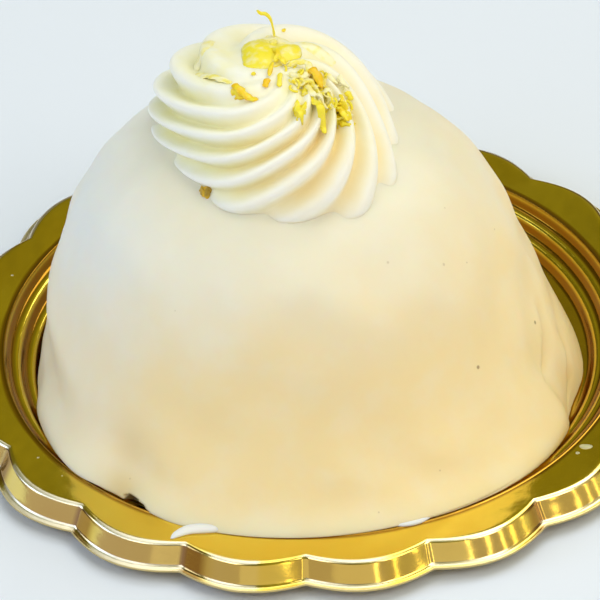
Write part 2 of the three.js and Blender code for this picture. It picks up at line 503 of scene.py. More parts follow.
@dataclass(frozen=True)
class LemonGlaze:
    """A satin lemon glaze over mousse, paler on top, with painted warm light low on the steep wall.

    Its painted warm light, as bounced from the gold plate, fades in from warm_from down to warm_to, higher up
    towards the right by the slope warm_tilt. On top it turns cool towards the left as painted cool light,
    where only cool_share of the warm light is left. Its foot is painted paler, as lit from above, most at the
    left, which fades from foot_left to foot_right. The ochre is painted shade beside the gap and along the
    creases, and a crumb is (x, y, z, radius) in millimetres and a strength. Other lengths are the sizes of
    its patches and relief.
    """

    pale: RGB = (0.85, 0.82, 0.68)
    cool: RGB = (0.80, 0.845, 0.86)
    warm: RGB = (0.925, 0.755, 0.42)
    milky: RGB = (0.90, 0.90, 0.82)
    ochre: RGB = (0.70, 0.52, 0.20)
    dark: RGB = (0.03, 0.018, 0.006)
    crumb: RGB = (0.30, 0.20, 0.08)
    roughness: float = 0.42
    warm_from: float = 38.0 * MM
    warm_to: float = 18.0 * MM
    warm_tilt: float = 0.12
    cool_from: float = -16.0 * MM
    cool_to: float = -34.0 * MM
    cool_share: float = 0.62
    foot_from: float = 8.5 * MM
    foot_to: float = 4.8 * MM
    foot_left: float = 4.0 * MM
    foot_right: float = 20.0 * MM
    foot_share: float = 0.42
    cloud: float = 12.0 * MM
    mottle: float = 5.0 * MM
    grit: float = 6.0 * MM
    dull: float = 2.5 * MM
    swell: float = 6.0 * MM
    swell_depth: float = 0.16 * MM
    skin: float = 0.5 * MM
    skin_depth: float = 0.006 * MM
    crumbs: tuple[tuple[float, float, float, float, float], ...] = (
        (30.2, -10.6, 14.0, 0.24, 0.8),
        (21.9, -23.1, 16.5, 0.24, 0.8),
        (10.3, -21.2, 33.4, 0.20, 0.3),
        (17.8, -18.1, 30.3, 0.20, 0.3),
    )

    def crumbed(self, graph: SurfaceGraph) -> bpy.types.NodeSocket:
        """Says where tiny crumbs show through the glaze.

        Args:
            graph: The glaze's graph.

        Returns:
            How strongly a crumb shows, from 0 to 1.
        """
        mark = 0.0
        for x, y, z, radius, strength in self.crumbs:
            away = graph.vector("DISTANCE", graph.place, (x * MM, y * MM, z * MM))
            near = graph.span(away, radius * MM * 1.5, radius * MM * 0.6, 0.0, strength)
            mark = graph.math("MAXIMUM", mark, near)
        return mark

    def body(self, graph: SurfaceGraph) -> bpy.types.NodeSocket:
        """Colours the glaze with painted light, before the painted shade: warm light low on the wall, cool
        light on the left of the top and paler light on the foot.

        Args:
            graph: The glaze's graph.

        Returns:
            The colour.
        """
        across, height = graph.along("X"), graph.along("Z")
        drift = graph.math("MULTIPLY", graph.math("SUBTRACT", graph.noise(self.cloud, 3.0), 0.5), self.cloud)
        tilt = graph.math("MULTIPLY", across, self.warm_tilt)
        level = graph.math("SUBTRACT", graph.math("ADD", height, drift), tilt)
        painted_cool_light = graph.span(across, self.cool_from, self.cool_to)
        warmth = graph.span(painted_cool_light, 0.0, 1.0, 1.0, self.cool_share)
        painted_warm_light = graph.math("MULTIPLY", graph.span(level, self.warm_from, self.warm_to), warmth)
        top = graph.mix(painted_cool_light, self.pale, self.cool)
        # Painted light on the foot: paler, as lit from above, most at the left.
        reach = graph.span(across, self.foot_left, self.foot_right, self.foot_share, 0.0)
        foot = graph.math("MULTIPLY", graph.span(height, self.foot_from, self.foot_to), reach)
        return graph.mix(foot, graph.mix(painted_warm_light, top, self.warm), self.pale)

    def material(self, name: str = "lemon_glaze") -> bpy.types.Material:
        """Builds the glaze's material, which reads from two attributes the painted shadow in the gap and the
        painted ochre shade beside it and along the creases.

        Args:
            name: The material's name.
        """
        graph = SurfaceGraph(name)
        body = self.body(graph)
        cloud = graph.span(graph.noise(self.mottle, 3.0), 0.4, 0.75, 0.0, 0.3)
        mottled = graph.mix(cloud, body, graph.mix(0.6, body, self.milky))
        specks = graph.add("ShaderNodeTexVoronoi", {"Vector": graph.place, "Scale": 1.0 / self.grit})
        fine = graph.span(specks.outputs["Distance"], 0.03, 0.018, 0.0, 0.3)
        speck = graph.math("MAXIMUM", fine, self.crumbed(graph))
        # Painted ochre shade beside the gap and along the creases.
        ochre_shaded = graph.mix(graph.mark("ochre_shade"), mottled, self.ochre)
        smooth, rough = self.roughness - 0.05, self.roughness + 0.07
        graph.set(
            Base_Color=graph.mix(graph.mark("shade"), graph.mix(speck, ochre_shaded, self.crumb), self.dark),
            Roughness=graph.span(graph.noise(self.dull, 3.0), 0.3, 0.7, smooth, rough),
            IOR=1.42,
            Subsurface_Weight=0.35,
            Subsurface_Radius=(1.0, 0.62, 0.30),
            Subsurface_Scale=3.0 * MM,
            Specular_IOR_Level=0.42,
        )
        soft = graph.bump(graph.noise(self.swell, 1.5), self.swell_depth)
        graph.set(Normal=graph.bump(graph.noise(self.skin, 2.0), self.skin_depth, soft))
        return graph.material


@dataclass(frozen=True)
class PipedCream:
    """Whipped cream: pale, with a soft matte surface of very fine bubbles.

    Its grooves and its underside are painted warmer than its ridges as shade, and both turn greener towards
    the left as painted cool light, from left_from to left_to.
    Juice has stained it in blots, and other lengths are the sizes of its patches and relief.
    """

    colour: RGB = (0.975, 0.965, 0.87)
    hollow: RGB = (0.97, 0.80, 0.44)
    left_colour: RGB = (0.95, 0.965, 0.88)
    left_hollow: RGB = (0.90, 0.86, 0.48)
    left_from: float = 3.0 * MM
    left_to: float = -15.0 * MM
    juice: RGB = (0.93, 0.86, 0.36)
    roughness: float = 0.5
    blotch: float = 5.0 * MM
    blot: float = 2.6 * MM
    bubble: float = 0.28 * MM
    bubble_depth: float = 0.012 * MM
    smear: float = 2.2 * MM
    smear_depth: float = 0.06 * MM

    def material(self) -> bpy.types.Material:
        """Builds the cream's material: "hollow" paints warm shade into the grooves and under the rim, and
        "juice" stains it round the zest.
        """
        graph = SurfaceGraph("piped_cream")
        cloud = graph.span(graph.noise(self.blotch, 3.0), 0.3, 0.7, -0.12, 0.12)
        depth = graph.math("ADD", graph.math("MULTIPLY", graph.mark("hollow"), 0.9), cloud, clamp=True)
        # Painted cool light: ridges and grooves turn greener towards the left.
        left = graph.span(graph.along("X"), self.left_from, self.left_to)
        crest = graph.mix(left, self.colour, self.left_colour)
        # Painted shade: the grooves and the underside take the warm hollow colour.
        groove = graph.mix(left, self.hollow, self.left_hollow)
        patchy = graph.span(graph.noise(self.blot, 3.0), 0.3, 0.6, 0.25, 1.0)
        blot = graph.math("MULTIPLY", graph.mark("juice"), patchy, clamp=True)
        graph.set(
            Base_Color=graph.mix(blot, graph.mix(depth, crest, groove), self.juice),
            Roughness=self.roughness,
            IOR=1.40,
            Subsurface_Weight=0.35,
            Subsurface_Radius=(1.0, 0.9, 0.75),
            Subsurface_Scale=1.3 * MM,
        )
        soft = graph.bump(graph.noise(self.smear, 2.0), self.smear_depth)
        graph.set(Normal=graph.bump(graph.noise(self.bubble, 2.0), self.bubble_depth, soft))
        return graph.material


@dataclass(frozen=True)
class LemonZest:
    """Moist lemon peel and pulp: pale on the pith side, yellow outside, amber and then brown where it dries.

    Attributes:
        pith: The colour of the inner side.
        peel: The colour of the outer side.
        amber: The colour of the ripest bits.
        dried: The colour of the dried crumb.
        roughness: Its roughness.
        blotch: The size of its paler and deeper patches.
        pore: The size of its pores.
        pore_depth: The depth of those.
    """

    pith: RGB = (0.97, 0.93, 0.62)
    peel: RGB = (0.945, 0.81, 0.045)
    amber: RGB = (0.92, 0.58, 0.01)
    dried: RGB = (0.42, 0.27, 0.02)
    roughness: float = 0.32
    blotch: float = 1.2 * MM
    pore: float = 0.35 * MM
    pore_depth: float = 0.03 * MM

    def material(self) -> bpy.types.Material:
        """Builds the peel's material, whose "ripeness" is 0 for pith, 1 for amber and 1.5 for dried."""
        graph = SurfaceGraph("lemon_zest")
        uneven = graph.span(graph.noise(self.blotch, 3.0), 0.3, 0.7, -0.16, 0.16)
        tone = graph.math("ADD", graph.mark("ripeness"), uneven)
        skin = graph.mix(graph.span(tone, 0.05, 0.5), self.pith, self.peel)
        ripest = graph.mix(graph.span(tone, 0.6, 1.0), skin, self.amber)
        graph.set(
            Base_Color=graph.mix(graph.span(tone, 1.1, 1.5), ripest, self.dried),
            Roughness=self.roughness,
            IOR=1.38,
            Subsurface_Weight=0.1,
            Subsurface_Radius=(1.0, 0.85, 0.45),
            Subsurface_Scale=0.4 * MM,
            Coat_Weight=0.2,
            Coat_Roughness=0.2,
        )
        graph.set(Normal=graph.bump(graph.noise(self.pore, 2.0), self.pore_depth))
        return graph.material


# ---- Gold plate ----


@dataclass(frozen=True)
class Corner:
    """A corner of an outline: its place in metres and the radius that rounds it."""

    r: float
    z: float
    radius: float = 0.0


def rounded_outline(corners: Sequence[Corner], arc_steps: int) -> np.ndarray:
    """Rounds an outline's corners with arcs.

    Args:
        corners: The corners in order. The first and the last stay sharp.
        arc_steps: How many stretches each arc has.

    Returns:
        The outline's points, (count, 2).
    """
    points = [np.array((corners[0].r, corners[0].z))]
    for before, corner, after in zip(corners, corners[1:], corners[2:]):
        here = np.array((corner.r, corner.z))
        inward = here - (before.r, before.z)
        onward = np.array((after.r, after.z)) - here
        inward = inward / np.linalg.norm(inward)
        onward = onward / np.linalg.norm(onward)
        turn = math.acos(float(np.clip(inward @ onward, -1.0, 1.0)))
        if corner.radius <= 0.0 or turn < 1e-4:
            points.append(here)
            continue
        reach = corner.radius * math.tan(turn / 2.0)
        side = onward - inward
        middle = here + side / np.linalg.norm(side) * corner.radius / math.cos(turn / 2.0)
        first = here - inward * reach - middle
        sense = math.copysign(1.0, inward[0] * onward[1] - inward[1] * onward[0])
        for step in range(arc_steps + 1):
            angle = sense * turn * step / arc_steps
            cosine, sine = math.cos(angle), math.sin(angle)
            points.append(middle + (first[0] * cosine - first[1] * sine, first[0] * sine + first[1] * cosine))
    points.append(np.array((corners[-1].r, corners[-1].z)))
    return np.array(points)


def divided(outline: np.ndarray, longest: float, beyond: float) -> np.ndarray:
    """Adds points along an outline's long stretches.

    Args:
        outline: The outline as (radius, height).
        longest: How long a stretch may be.
        beyond: The radius from which on points are added.

    Returns:
        The finer outline.
    """
    points = [outline[:1]]
    for start, end in zip(outline, outline[1:]):
        count = 1
        if max(start[0], end[0]) > beyond:
            count = max(1, math.ceil(float(np.linalg.norm(end - start)) / longest))
        shares = np.arange(1, count + 1)[:, None] / count
        points.append(start + (end - start) * shares)
    return np.concatenate(points)


@dataclass
class GoldPlate:
    """The stepped plate: a floor, three steps, a beaded rim and a scalloped skirt with a thin lip.

    The skirt's lobes meet in cusps. The painted highlight and the painted shade are shares from 0 to 1, and a
    lobe's phase runs from
    0 at one cusp to 1 at the next. A side is the cosine of the way round, -1 at the left and 1 at the right.
    """

    finish: GoldFilm = field(default_factory=GoldFilm)
    floor: float = 0.6 * MM
    step_count: int = 3
    step_rise: float = 1.4 * MM
    step_pitch: float = 2.0 * MM
    riser_width: float = 0.8 * MM
    rim_inner_radius: float = 43.0 * MM
    bead_height: float = 0.04 * MM
    bead_width: float = 0.55 * MM
    rim_cusp_radius: float = 47.3 * MM
    lobe_count: int = 18
    lobe_depth: float = 2.0 * MM
    lobe_start: float = math.radians(-152.8)
    edge_radius: float = 0.75 * MM
    wall_flare: float = 1.53 * MM
    wall_drop: float = 2.69 * MM
    fillet_radius: float = 0.7 * MM
    lip_radius: float = 49.7 * MM
    lip_dip: float = 0.08 * MM
    card: float = 0.26 * MM
    step_fillet: float = 0.8 * MM
    rim_rise: float = 0.28 * MM
    columns_per_lobe: int = 26
    wall_painted_sheen: float = 0.09
    lip_painted_sheen: float = 0.5
    lip_sheen_start: float = 0.3 * MM
    fold_highlight_reach: float = 0.58
    fold_highlight_fade: float = 0.34
    step_shade_reach: float = 1.0 * MM
    step_shade_fade: float = 0.45 * MM
    bead_shade: float = 0.9
    cusp_shade_strength: float = 0.9
    little_highlight: float = 0.12
    early_until: float = -0.05
    late_highlight_from: float = -0.18
    late_cusp_shade_from: float = 0.3
    cut_width: float = 0.06 * MM
    cut_fade: float = 0.05 * MM
    longest_stretch: float = 0.3 * MM
    upper_arc_steps: int = 8
    lower_arc_steps: int = 4
    ragged_depth: float = 0.16 * MM
    ragged_size: float = 0.9 * MM

    @property
    def floor_radius(self) -> float:
        """The radius at which the first step begins."""
        return self.rim_inner_radius - (self.step_count - 1) * self.step_pitch - self.riser_width

    @property
    def rim_top(self) -> float:
        """The height of the rim's flat top."""
        return self.floor + self.step_count * self.step_rise

    @property
    def rim_above_floor(self) -> float:
        """How far the rim's flat top stands above the floor."""
        return self.step_count * self.step_rise

    @property
    def wall_foot_radius(self) -> float:
        """The radius of the skirt's foot, before the lobes pull it outwards."""
        return self.rim_cusp_radius + self.wall_flare

    def upper_corners(self) -> list[Corner]:
        """Returns the corners of the plate's upper face, from the middle to the lip."""
        corners = [Corner(0.0, self.floor)]
        for step in range(self.step_count):
            foot = self.floor_radius + step * self.step_pitch
            low = self.floor + step * self.step_rise
            corners.append(Corner(foot, low, self.step_fillet))
            if step < self.step_count - 1:
                corners.append(Corner(foot + self.riser_width, low + self.step_rise, self.step_fillet))
        bead = self.rim_inner_radius
        flange = self.rim_top - self.wall_drop
        return corners + [
            Corner(bead, self.rim_top + self.bead_height * 0.55, 0.12 * MM),
            Corner(bead + self.bead_width * 0.3, self.rim_top + self.bead_height, 0.16 * MM),
            Corner(bead + self.bead_width * 0.62, self.rim_top - self.bead_height * 0.25, 0.12 * MM),
            Corner(bead + self.bead_width, self.rim_top, 0.25 * MM),
            Corner(self.rim_cusp_radius, self.rim_top + self.rim_rise, self.edge_radius),
            Corner(self.wall_foot_radius, flange, self.fillet_radius),
            Corner(self.lip_radius, flange - self.lip_dip, self.card * 0.3),
        ]

    def lower_corners(self) -> list[Corner]:
        """Returns the corners of the plate's underside, from the lip back to the middle."""
        card = self.card
        flange = self.rim_top - self.wall_drop
        corners = [
            Corner(self.lip_radius, flange - self.lip_dip - card, card * 0.3),
            Corner(self.wall_foot_radius - 0.5 * card, flange - card, self.fillet_radius),
            Corner(self.rim_cusp_radius - 0.6 * card, self.rim_top + self.rim_rise - card, self.edge_radius),
            Corner(self.rim_inner_radius + 0.4 * card, self.rim_top - card, self.step_fillet),
        ]
        for step in reversed(range(self.step_count)):
            foot = self.floor_radius + step * self.step_pitch + 0.5 * card
            low = self.floor + step * self.step_rise - (self.floor if step == 0 else card)
            corners.append(Corner(foot, low, self.step_fillet))
            if step:
                corners.append(Corner(foot + self.riser_width - self.step_pitch, low, self.step_fillet))
        return corners + [Corner(0.0, 0.0)]

    def marks(self, outline: np.ndarray, upper_count: int) -> dict[str, np.ndarray]:
        """Says where a highlight is painted pale along the folds, faintly on the skirt's wall and on the lip,
        and where shade is painted in the creases.

        Args:
            outline: The plate's outline as (radius, height).
            upper_count: How many of its points belong to the upper face.

        Returns:
            The two marks, from 0 to 1, for each point of the outline.
        """
        above = np.arange(len(outline)) < upper_count
        radii, heights = outline.T
        folds = (
            (self.rim_cusp_radius, self.rim_top + self.rim_rise, self.edge_radius),
            (self.wall_foot_radius, self.rim_top - self.wall_drop, self.fillet_radius),
        )
        # Painted sheen: the skirt's wall and the lip are painted paler, and a highlight is painted along the
        # two folds.
        painted_highlight = np.where((radii > self.rim_cusp_radius) & (heights < self.rim_top), self.wall_painted_sheen, 0.0)
        for r, z, radius in folds:
            reach, fade = self.fold_highlight_reach * radius, self.fold_highlight_fade * radius
            painted_highlight = np.maximum(painted_highlight, np.clip((reach - np.hypot(radii - r, heights - z)) / fade, 0.0, 1.0))
        painted_highlight = np.where(radii > self.wall_foot_radius + self.lip_sheen_start, self.lip_painted_sheen, painted_highlight)
        # Painted shade: brown at the foot of each riser and along the bead.
        crease = np.zeros(len(outline))
        for step in range(self.step_count):
            r = self.floor_radius + step * self.step_pitch + 0.25 * self.riser_width
            z = self.floor + step * self.step_rise + 0.25 * self.step_rise
            near = (self.step_shade_reach - np.hypot(radii - r, heights - z)) / self.step_shade_fade
            crease = np.maximum(crease, np.clip(near, 0.0, 1.0))
        beaded = np.abs(radii - self.rim_inner_radius - 0.5 * self.bead_width) < 0.7 * self.bead_width
        crease = np.maximum(crease, np.where(beaded, self.bead_shade, 0.0))
        return {"painted_highlight": painted_highlight * above, "crease": crease * above}

    def lobe_phase(self, spin: np.ndarray) -> np.ndarray:
        """Returns where each column lies in its lobe, from 0 at one cusp to 1 at the next."""
        lobe = 2.0 * math.pi / self.lobe_count
        return ((spin - self.lobe_start) % lobe) / lobe

    def highlight_facing(self, spin: np.ndarray) -> np.ndarray:
        """Returns how much painted highlight each column shows, as a factor, by how its lobe faces the
        lights: most at the left, and little beside a cusp.

        Args:
            spin: The columns' angles.
        """
        phase, side, little = self.lobe_phase(spin), np.cos(spin), self.little_highlight
        late = np.interp(phase, (0.0, 0.52, 0.68, 0.95, 1.0), (1.0, 1.0, little, little, 1.0))
        early = np.interp(phase, (0.0, 0.04, 0.18, 0.3, 1.0), (1.0, little, little, 1.0, 1.0))
        highlight_part = np.where(side > self.late_highlight_from, late, 1.0) * np.where(side < self.early_until, early, 1.0)
        return highlight_part * np.interp(side, (-0.6, -0.2, 0.55, 0.85), (2.2, 1.0, 1.0, 0.35))

    def cusp_shade(self, spin: np.ndarray) -> np.ndarray:
        """Returns the shade painted on the skirt's film at each column, beside the cusps between two lobes.

        Args:
            spin: The columns' angles.
        """
        phase, side, dark = self.lobe_phase(spin), np.cos(spin), self.cusp_shade_strength
        early = np.interp(phase, (0.0, 0.16, 0.24, 1.0), (dark, dark, 0.0, 0.0))
        late = np.interp(phase, (0.0, 0.82, 0.9, 1.0), (0.0, 0.0, dark, dark))
        left = np.where(side < self.early_until, early, 0.0)
        return left + np.where(side > self.late_cusp_shade_from, late, 0.0)

    def scallop_tree(self) -> bpy.types.NodeTree:
        """Builds the tree that pulls the rim into lobes and frays the lip's cut edge."""
        sockets = {
            "Lobes": "NodeSocketInt",
            "Lobe Depth": "NodeSocketFloat",
            "Start Angle": "NodeSocketFloat",
            "Fray Depth": "NodeSocketFloat",
            "Fray Size": "NodeSocketFloat",
            "Finish": "NodeSocketMaterial",
        }
        graph, given = geometry_tree("scalloped_rim", sockets)
        place = graph.add("GeometryNodeInputPosition").outputs[0]
        axes = graph.add("ShaderNodeSeparateXYZ", {0: place}).outputs
        angle = graph.math("ARCTAN2", axes["Y"], axes["X"])
        phase = graph.math("MULTIPLY", graph.math("SUBTRACT", angle, given["Start Angle"]), given["Lobes"])
        lobe = graph.math("ABSOLUTE", graph.math("SINE", graph.math("MULTIPLY", phase, 0.5)))
        bulge = graph.math("MULTIPLY", lobe, given["Lobe Depth"])
        pull = graph.math("MULTIPLY", bulge, graph.mark("edge_share"))
        density = graph.math("DIVIDE", 1.0, given["Fray Size"])
        fray = graph.add("ShaderNodeTexNoise", {"Vector": place, "Scale": density, "Detail": 3.0}).outputs[0]
        nibble = graph.math("MULTIPLY", graph.math("MULTIPLY", fray, given["Fray Depth"]), graph.mark("cut"))
        level = graph.add("ShaderNodeCombineXYZ", {0: axes["X"], 1: axes["Y"]}).outputs[0]
        reach = graph.math("SUBTRACT", pull, nibble)
        move = graph.vector("SCALE", graph.vector("NORMALIZE", level), scale=reach)
        shaped = {"Geometry": given["Geometry"], "Offset": move}
        return close_tree(graph, graph.add("GeometryNodeSetPosition", shaped).outputs[0], given["Finish"])

    def build(self) -> bpy.types.Object:
        """Makes the plate and enters it.

        Returns:
            The finished plate.
        """
        upper = rounded_outline(self.upper_corners(), self.upper_arc_steps)
        upper = divided(upper, self.longest_stretch, self.floor_radius + 0.5 * MM)
        lower = rounded_outline(self.lower_corners(), self.lower_arc_steps)
        outline = np.concatenate((upper, lower))
        columns = self.columns_per_lobe * self.lobe_count
        spin = turns(columns, self.lobe_start)
        rings = []
        for r, z in outline:
            if r < 1e-7:
                rings.append(np.array([[0.0, 0.0, z]]))
            else:
                rings.append(np.column_stack((r * np.cos(spin), r * np.sin(spin), np.full(columns, z))))
        sizes = [len(ring) for ring in rings]
        radii = np.repeat(outline[:, 0], sizes)
        inner = self.rim_inner_radius + self.bead_width
        layers = {name: np.repeat(mark, sizes) for name, mark in self.marks(outline, len(upper)).items()}
        layers["edge_share"] = np.clip((radii - inner) / (self.rim_cusp_radius - inner), 0.0, 1.0)
        layers["cut"] = np.clip((radii - self.lip_radius + self.cut_width) / self.cut_fade, 0.0, 1.0)
        # The painted highlight shows only where a lobe faces the lights.
        highlight_facing = np.concatenate([self.highlight_facing(spin) if size > 1 else np.ones(1) for size in sizes])
        layers["painted_highlight"] = np.minimum(1.0, layers["painted_highlight"] * highlight_facing)
        # Painted shade on the skirt beside the cusps.
        cusp_shade = np.concatenate([self.cusp_shade(spin) if size > 1 else np.zeros(1) for size in sizes])
        layers["crease"] = np.maximum(layers["crease"], cusp_shade * (radii > self.rim_cusp_radius))
        plate = loft("gold_plate_film", rings, layers)
        inputs = {
            "Lobes": self.lobe_count,
            "Lobe Depth": self.lobe_depth,
            "Start Angle": self.lobe_start,
            "Fray Depth": self.ragged_depth,
            "Fray Size": self.ragged_size,
            "Finish": self.finish.material(),
        }
        bake_nodes(plate, self.scallop_tree(), inputs)
        enter(plate, Slot.GOLD_FILM, "gold_plate")
        return plate


# ---- Glazed dome ----


@dataclass(frozen=True)
class Fold:
    """A soft swelling or hollow in the glaze.

    Attributes:
        angle: Where it lies round the dome, in radians.
        height: Its height above the plate's floor.
        spread: How far it reaches round the dome, in radians.
        reach: How far it reaches up and down.
        depth: How far it stands out, or in where it is below 0.
    """

    angle: float
    height: float
    spread: float
    reach: float
    depth: float

    def relief(self, spin: np.ndarray, height: float, flatness: int = 1) -> np.ndarray:
        """Returns how far the fold moves the glaze outwards.

        Args:
            spin: Angles round the dome.
            height: The height above the plate's floor.
            flatness: The power that flattens its middle, 1 for a plain bell.
        """
        away = np.abs(wrapped(spin - self.angle)) / self.spread
        return self.depth * bell(away**flatness, 1.0) * bell(height - self.height, self.reach)


def fold(angle: float, height: float, spread: float, reach: float, depth: float) -> Fold:
    """Returns a fold given in degrees and millimetres."""
    return Fold(math.radians(angle), height * MM, math.radians(spread), reach * MM, depth * MM)


@dataclass(frozen=True)
class Crease:
    """A line along which the glaze has folded over itself as it slid down.

    Attributes:
        path: The line as (degrees, millimetres above the plate's floor), from its lower end up.
        depth: How deep it is.
        steep: How wide its steep side is, clockwise of the line.
        gentle: How wide its gentle side is.
        ochre_shade: How much ochre shade is painted along it, from 0 to 1.
    """

    path: tuple[tuple[float, float], ...]
    depth: float
    steep: float
    gentle: float
    ochre_shade: float

    def relief(self, spin: np.ndarray, height: float, radius: float) -> np.ndarray:
        """Returns how far the crease draws the glaze in.

        Args:
            spin: Angles round the dome.
            height: The height above the plate's floor.
            radius: The dome's radius, which turns angles into lengths.
        """
        angles, heights = np.array(self.path).T
        line = math.radians(np.interp(height / MM, heights, angles))
        side = radius * wrapped(spin - line)
        near = np.where(side < 0.0, bell(side, self.steep), bell(side, self.gentle))
        ends = min(height / MM - heights[0], heights[-1] - height / MM)
        return self.depth * near * float(np.clip(0.5 + ends / 1.5, 0.0, 1.0))


@dataclass
class GlazedDome:
    """The mousse dome under its glaze, whose foot has run out over the plate's steps.

    Its pool is where glaze has gathered in front, and its lap is that pool's edge on the rim. Its gap is
    where the edge arches clear of the rim. Heights are measured from the plate's floor.
    """

    plate: GoldPlate
    finish: LemonGlaze = field(default_factory=LemonGlaze)
    base_radius: float = 37.8 * MM
    height: float = 43.5 * MM
    taper: float = 0.304
    shoulder_power: float = 8.2
    centre: tuple[float, float] = (-1.4 * MM, -0.4 * MM)
    lean: float = -0.06
    clearance: float = 0.12 * MM
    pool: Fold = fold(-85, 2.5, 72, 8, 5.2)
    lap: Fold = fold(-100, 4.2, 54, 1.7, 1.6)
    folds: tuple[Fold, ...] = (
        fold(-21, 6, 6, 8, -0.9),
        fold(185, 17, 40, 8, 0.65),
        fold(177, 1.5, 10, 3.5, -0.8),
        fold(-170.5, 3, 6, 3.5, -0.72),
        fold(-165, 3, 9, 3.5, 0.35),
        fold(-154, 3.6, 6, 3.5, 0.2),
        fold(-16.5, 1.5, 6.5, 5, -1.1),
        fold(-23, 2, 5, 5, -0.4),
        fold(-46, 3.8, 18, 1.8, 1.0),
        fold(13, 10, 14, 8, -0.4),
        fold(-131, 6.5, 5, 5, -0.6),
        fold(-142, 4.5, 8, 4, 0.5),
        fold(192, 8, 30, 3.6, -1.2),
        fold(-126, 5, 8, 6, -1.1),
        fold(-24, 6, 2.0, 5, -0.35),
        fold(-33, 12, 1.8, 3.5, -0.25),
        fold(-14, 9, 5, 6, 0.35),
        fold(-62, 20, 10, 7, 0.25),
        fold(-118, 24, 12, 8, -0.25),
    )
    creases: tuple[Crease, ...] = (
        Crease(
            path=((-24.5, 1.2), (-20.0, 1.8), (-16.5, 3.0), (-15.1, 4.3), (-11.7, 6.4), (-10.0, 8.6)),
            depth=0.34 * MM,
            steep=0.3 * MM,
            gentle=1.6 * MM,
            ochre_shade=0.4,
        ),
        Crease(
            path=((-25.1, 7.7), (-21.0, 9.1), (-16.8, 11.3), (-12.0, 14.0)),
            depth=0.36 * MM,
            steep=0.5 * MM,
            gentle=2.4 * MM,
            ochre_shade=0.3,
        ),
    )
    # Painted ochre shade beside and above the gap.
    gap_ochre_shades: tuple[Fold, ...] = (fold(-127.7, 4.6, 4.5, 1.3, 0.6), fold(-129.7, 7.5, 4.5, 3.5, 0.22))
    gap_left: float = math.radians(-126.7)
    gap_peak: float = math.radians(-125.8)
    gap_right: float = math.radians(-120.9)
    gap_height: float = 0.6 * MM
    gap_floor: float = 2.6 * MM
    gap_depth: float = 3.4 * MM
    brow_softness: float = 0.12 * MM
    shade_strength: float = 6.0
    crowding: float = 0.6
    crowding_angle: float = math.radians(-75)
    columns: int = 560
    wall_rows: int = 90
    foot_rows: int = 66
    foot_height: float = 11.0 * MM
    foot_round: float = 0.25 * MM
    lip_rows: tuple[float, ...] = (0.01 * MM, 0.08 * MM, 0.24 * MM)
    wave_depth: float = 0.2 * MM
    wave_size: float = 13.0 * MM
    wave_seed: int = 5
    wave_start: float = 1.0 * MM
    wave_fade: float = 4.0 * MM

    def plain_radius(self, height: np.ndarray | float) -> np.ndarray | float:
        """Returns the dome's radius at a height above the plate's floor."""
        share = np.clip(height / self.height, 0.0, 1.0)
        return (self.base_radius - self.taper * height) * (1.0 - share**self.shoulder_power)

    def clear_radius(self, height: float) -> float:
        """Returns how far from the plate's axis the glaze may reach, so that it lies on the steps."""
        plate = self.plate
        slope = plate.step_pitch / plate.step_rise
        if height > plate.rim_above_floor:
            return math.inf
        start = plate.floor_radius + plate.riser_width - plate.step_pitch
        return start - self.clearance * math.hypot(1.0, slope) + height * slope

    def crowded_turns(self) -> np.ndarray:
        """Returns the columns' angles, which stand closer together where the glaze is most folded."""
        even = turns(self.columns)
        return even - self.crowding * np.sin(even - self.crowding_angle)

    def gap(self, height: float, spin: np.ndarray) -> np.ndarray:
        """Returns how far the glaze is drawn in where its edge arches clear of the rim.

        Args:
            height: The height above the plate's floor.
            spin: The angles round the dome.
        """
        falling = self.gap_right - self.gap_peak
        left = wrapped(spin - self.gap_left) / (self.gap_peak - self.gap_left)
        right = (falling - wrapped(spin - self.gap_peak)) / falling
        arch = np.sqrt(np.clip(np.minimum(left, right), 0.0, 1.0)) * self.gap_height
        under = np.clip((self.plate.rim_above_floor + arch - height) / self.brow_softness, 0.0, 1.0)
        return self.gap_depth * under * np.clip(arch / (0.1 * MM), 0.0, 1.0) * (height > self.gap_floor)

    def shade(self, height: float, spin: np.ndarray) -> np.ndarray:
        """Returns how dark the glaze is, which is black inside the gap."""
        return np.clip(self.shade_strength * self.gap(height, spin) / self.gap_depth, 0.0, 1.0)

    def ochre_shade(self, height: float, spin: np.ndarray) -> np.ndarray:
        """Returns how much ochre shade is painted on the glaze, beside the gap and along the creases.

        Args:
            height: The height above the plate's floor.
            spin: The angles round the dome.

        Returns:
            The painted shade, from 0 to 1. A gap shade's strength is its fold's depth in millimetres.
        """
        spots = sum(spot.relief(spin, height) for spot in self.gap_ochre_shades) / MM
        lines = np.zeros(len(spin))
        for each in self.creases:
            lines = np.maximum(lines, each.ochre_shade * each.relief(spin, height, self.base_radius) / each.depth)
        return np.clip(np.maximum(spots, lines), 0.0, 1.0)

    def ring(self, height: float, spin: np.ndarray) -> np.ndarray:
        """Returns the ring of glaze at one height.

        Args:
            height: The height above the plate's floor.
            spin: The angles round the dome.

        Returns:
            The ring's points, (columns, 3).
        """
        radius = self.plain_radius(height)
        for broad in (self.pool, self.lap):
            radius = radius + broad.relief(spin, height, 2)
        for each in self.folds:
            radius = radius + each.relief(spin, height)
        for each in self.creases:
            radius = radius - each.relief(spin, height, self.base_radius)
        rim = self.plate.rim_above_floor
        above = (height - rim) / self.foot_round
        if 0.0 <= above < 1.0:
            tuck = self.foot_round * (1.0 - math.sqrt(1.0 - (1.0 - above) ** 2))
            overhang = np.clip((radius - self.clear_radius(rim)) / self.foot_round, 0.0, 1.0)
            radius = radius - tuck * overhang
        x = self.centre[0] + self.lean * height + radius * np.cos(spin)
        y = self.centre[1] + radius * np.sin(spin)
        limit = self.clear_radius(height)
        away = np.hypot(x, y)
        held = np.minimum(1.0, limit / away) - self.gap(height, spin) / away
        return np.column_stack((x * held, y * held, np.full(len(spin), self.plate.floor + height)))

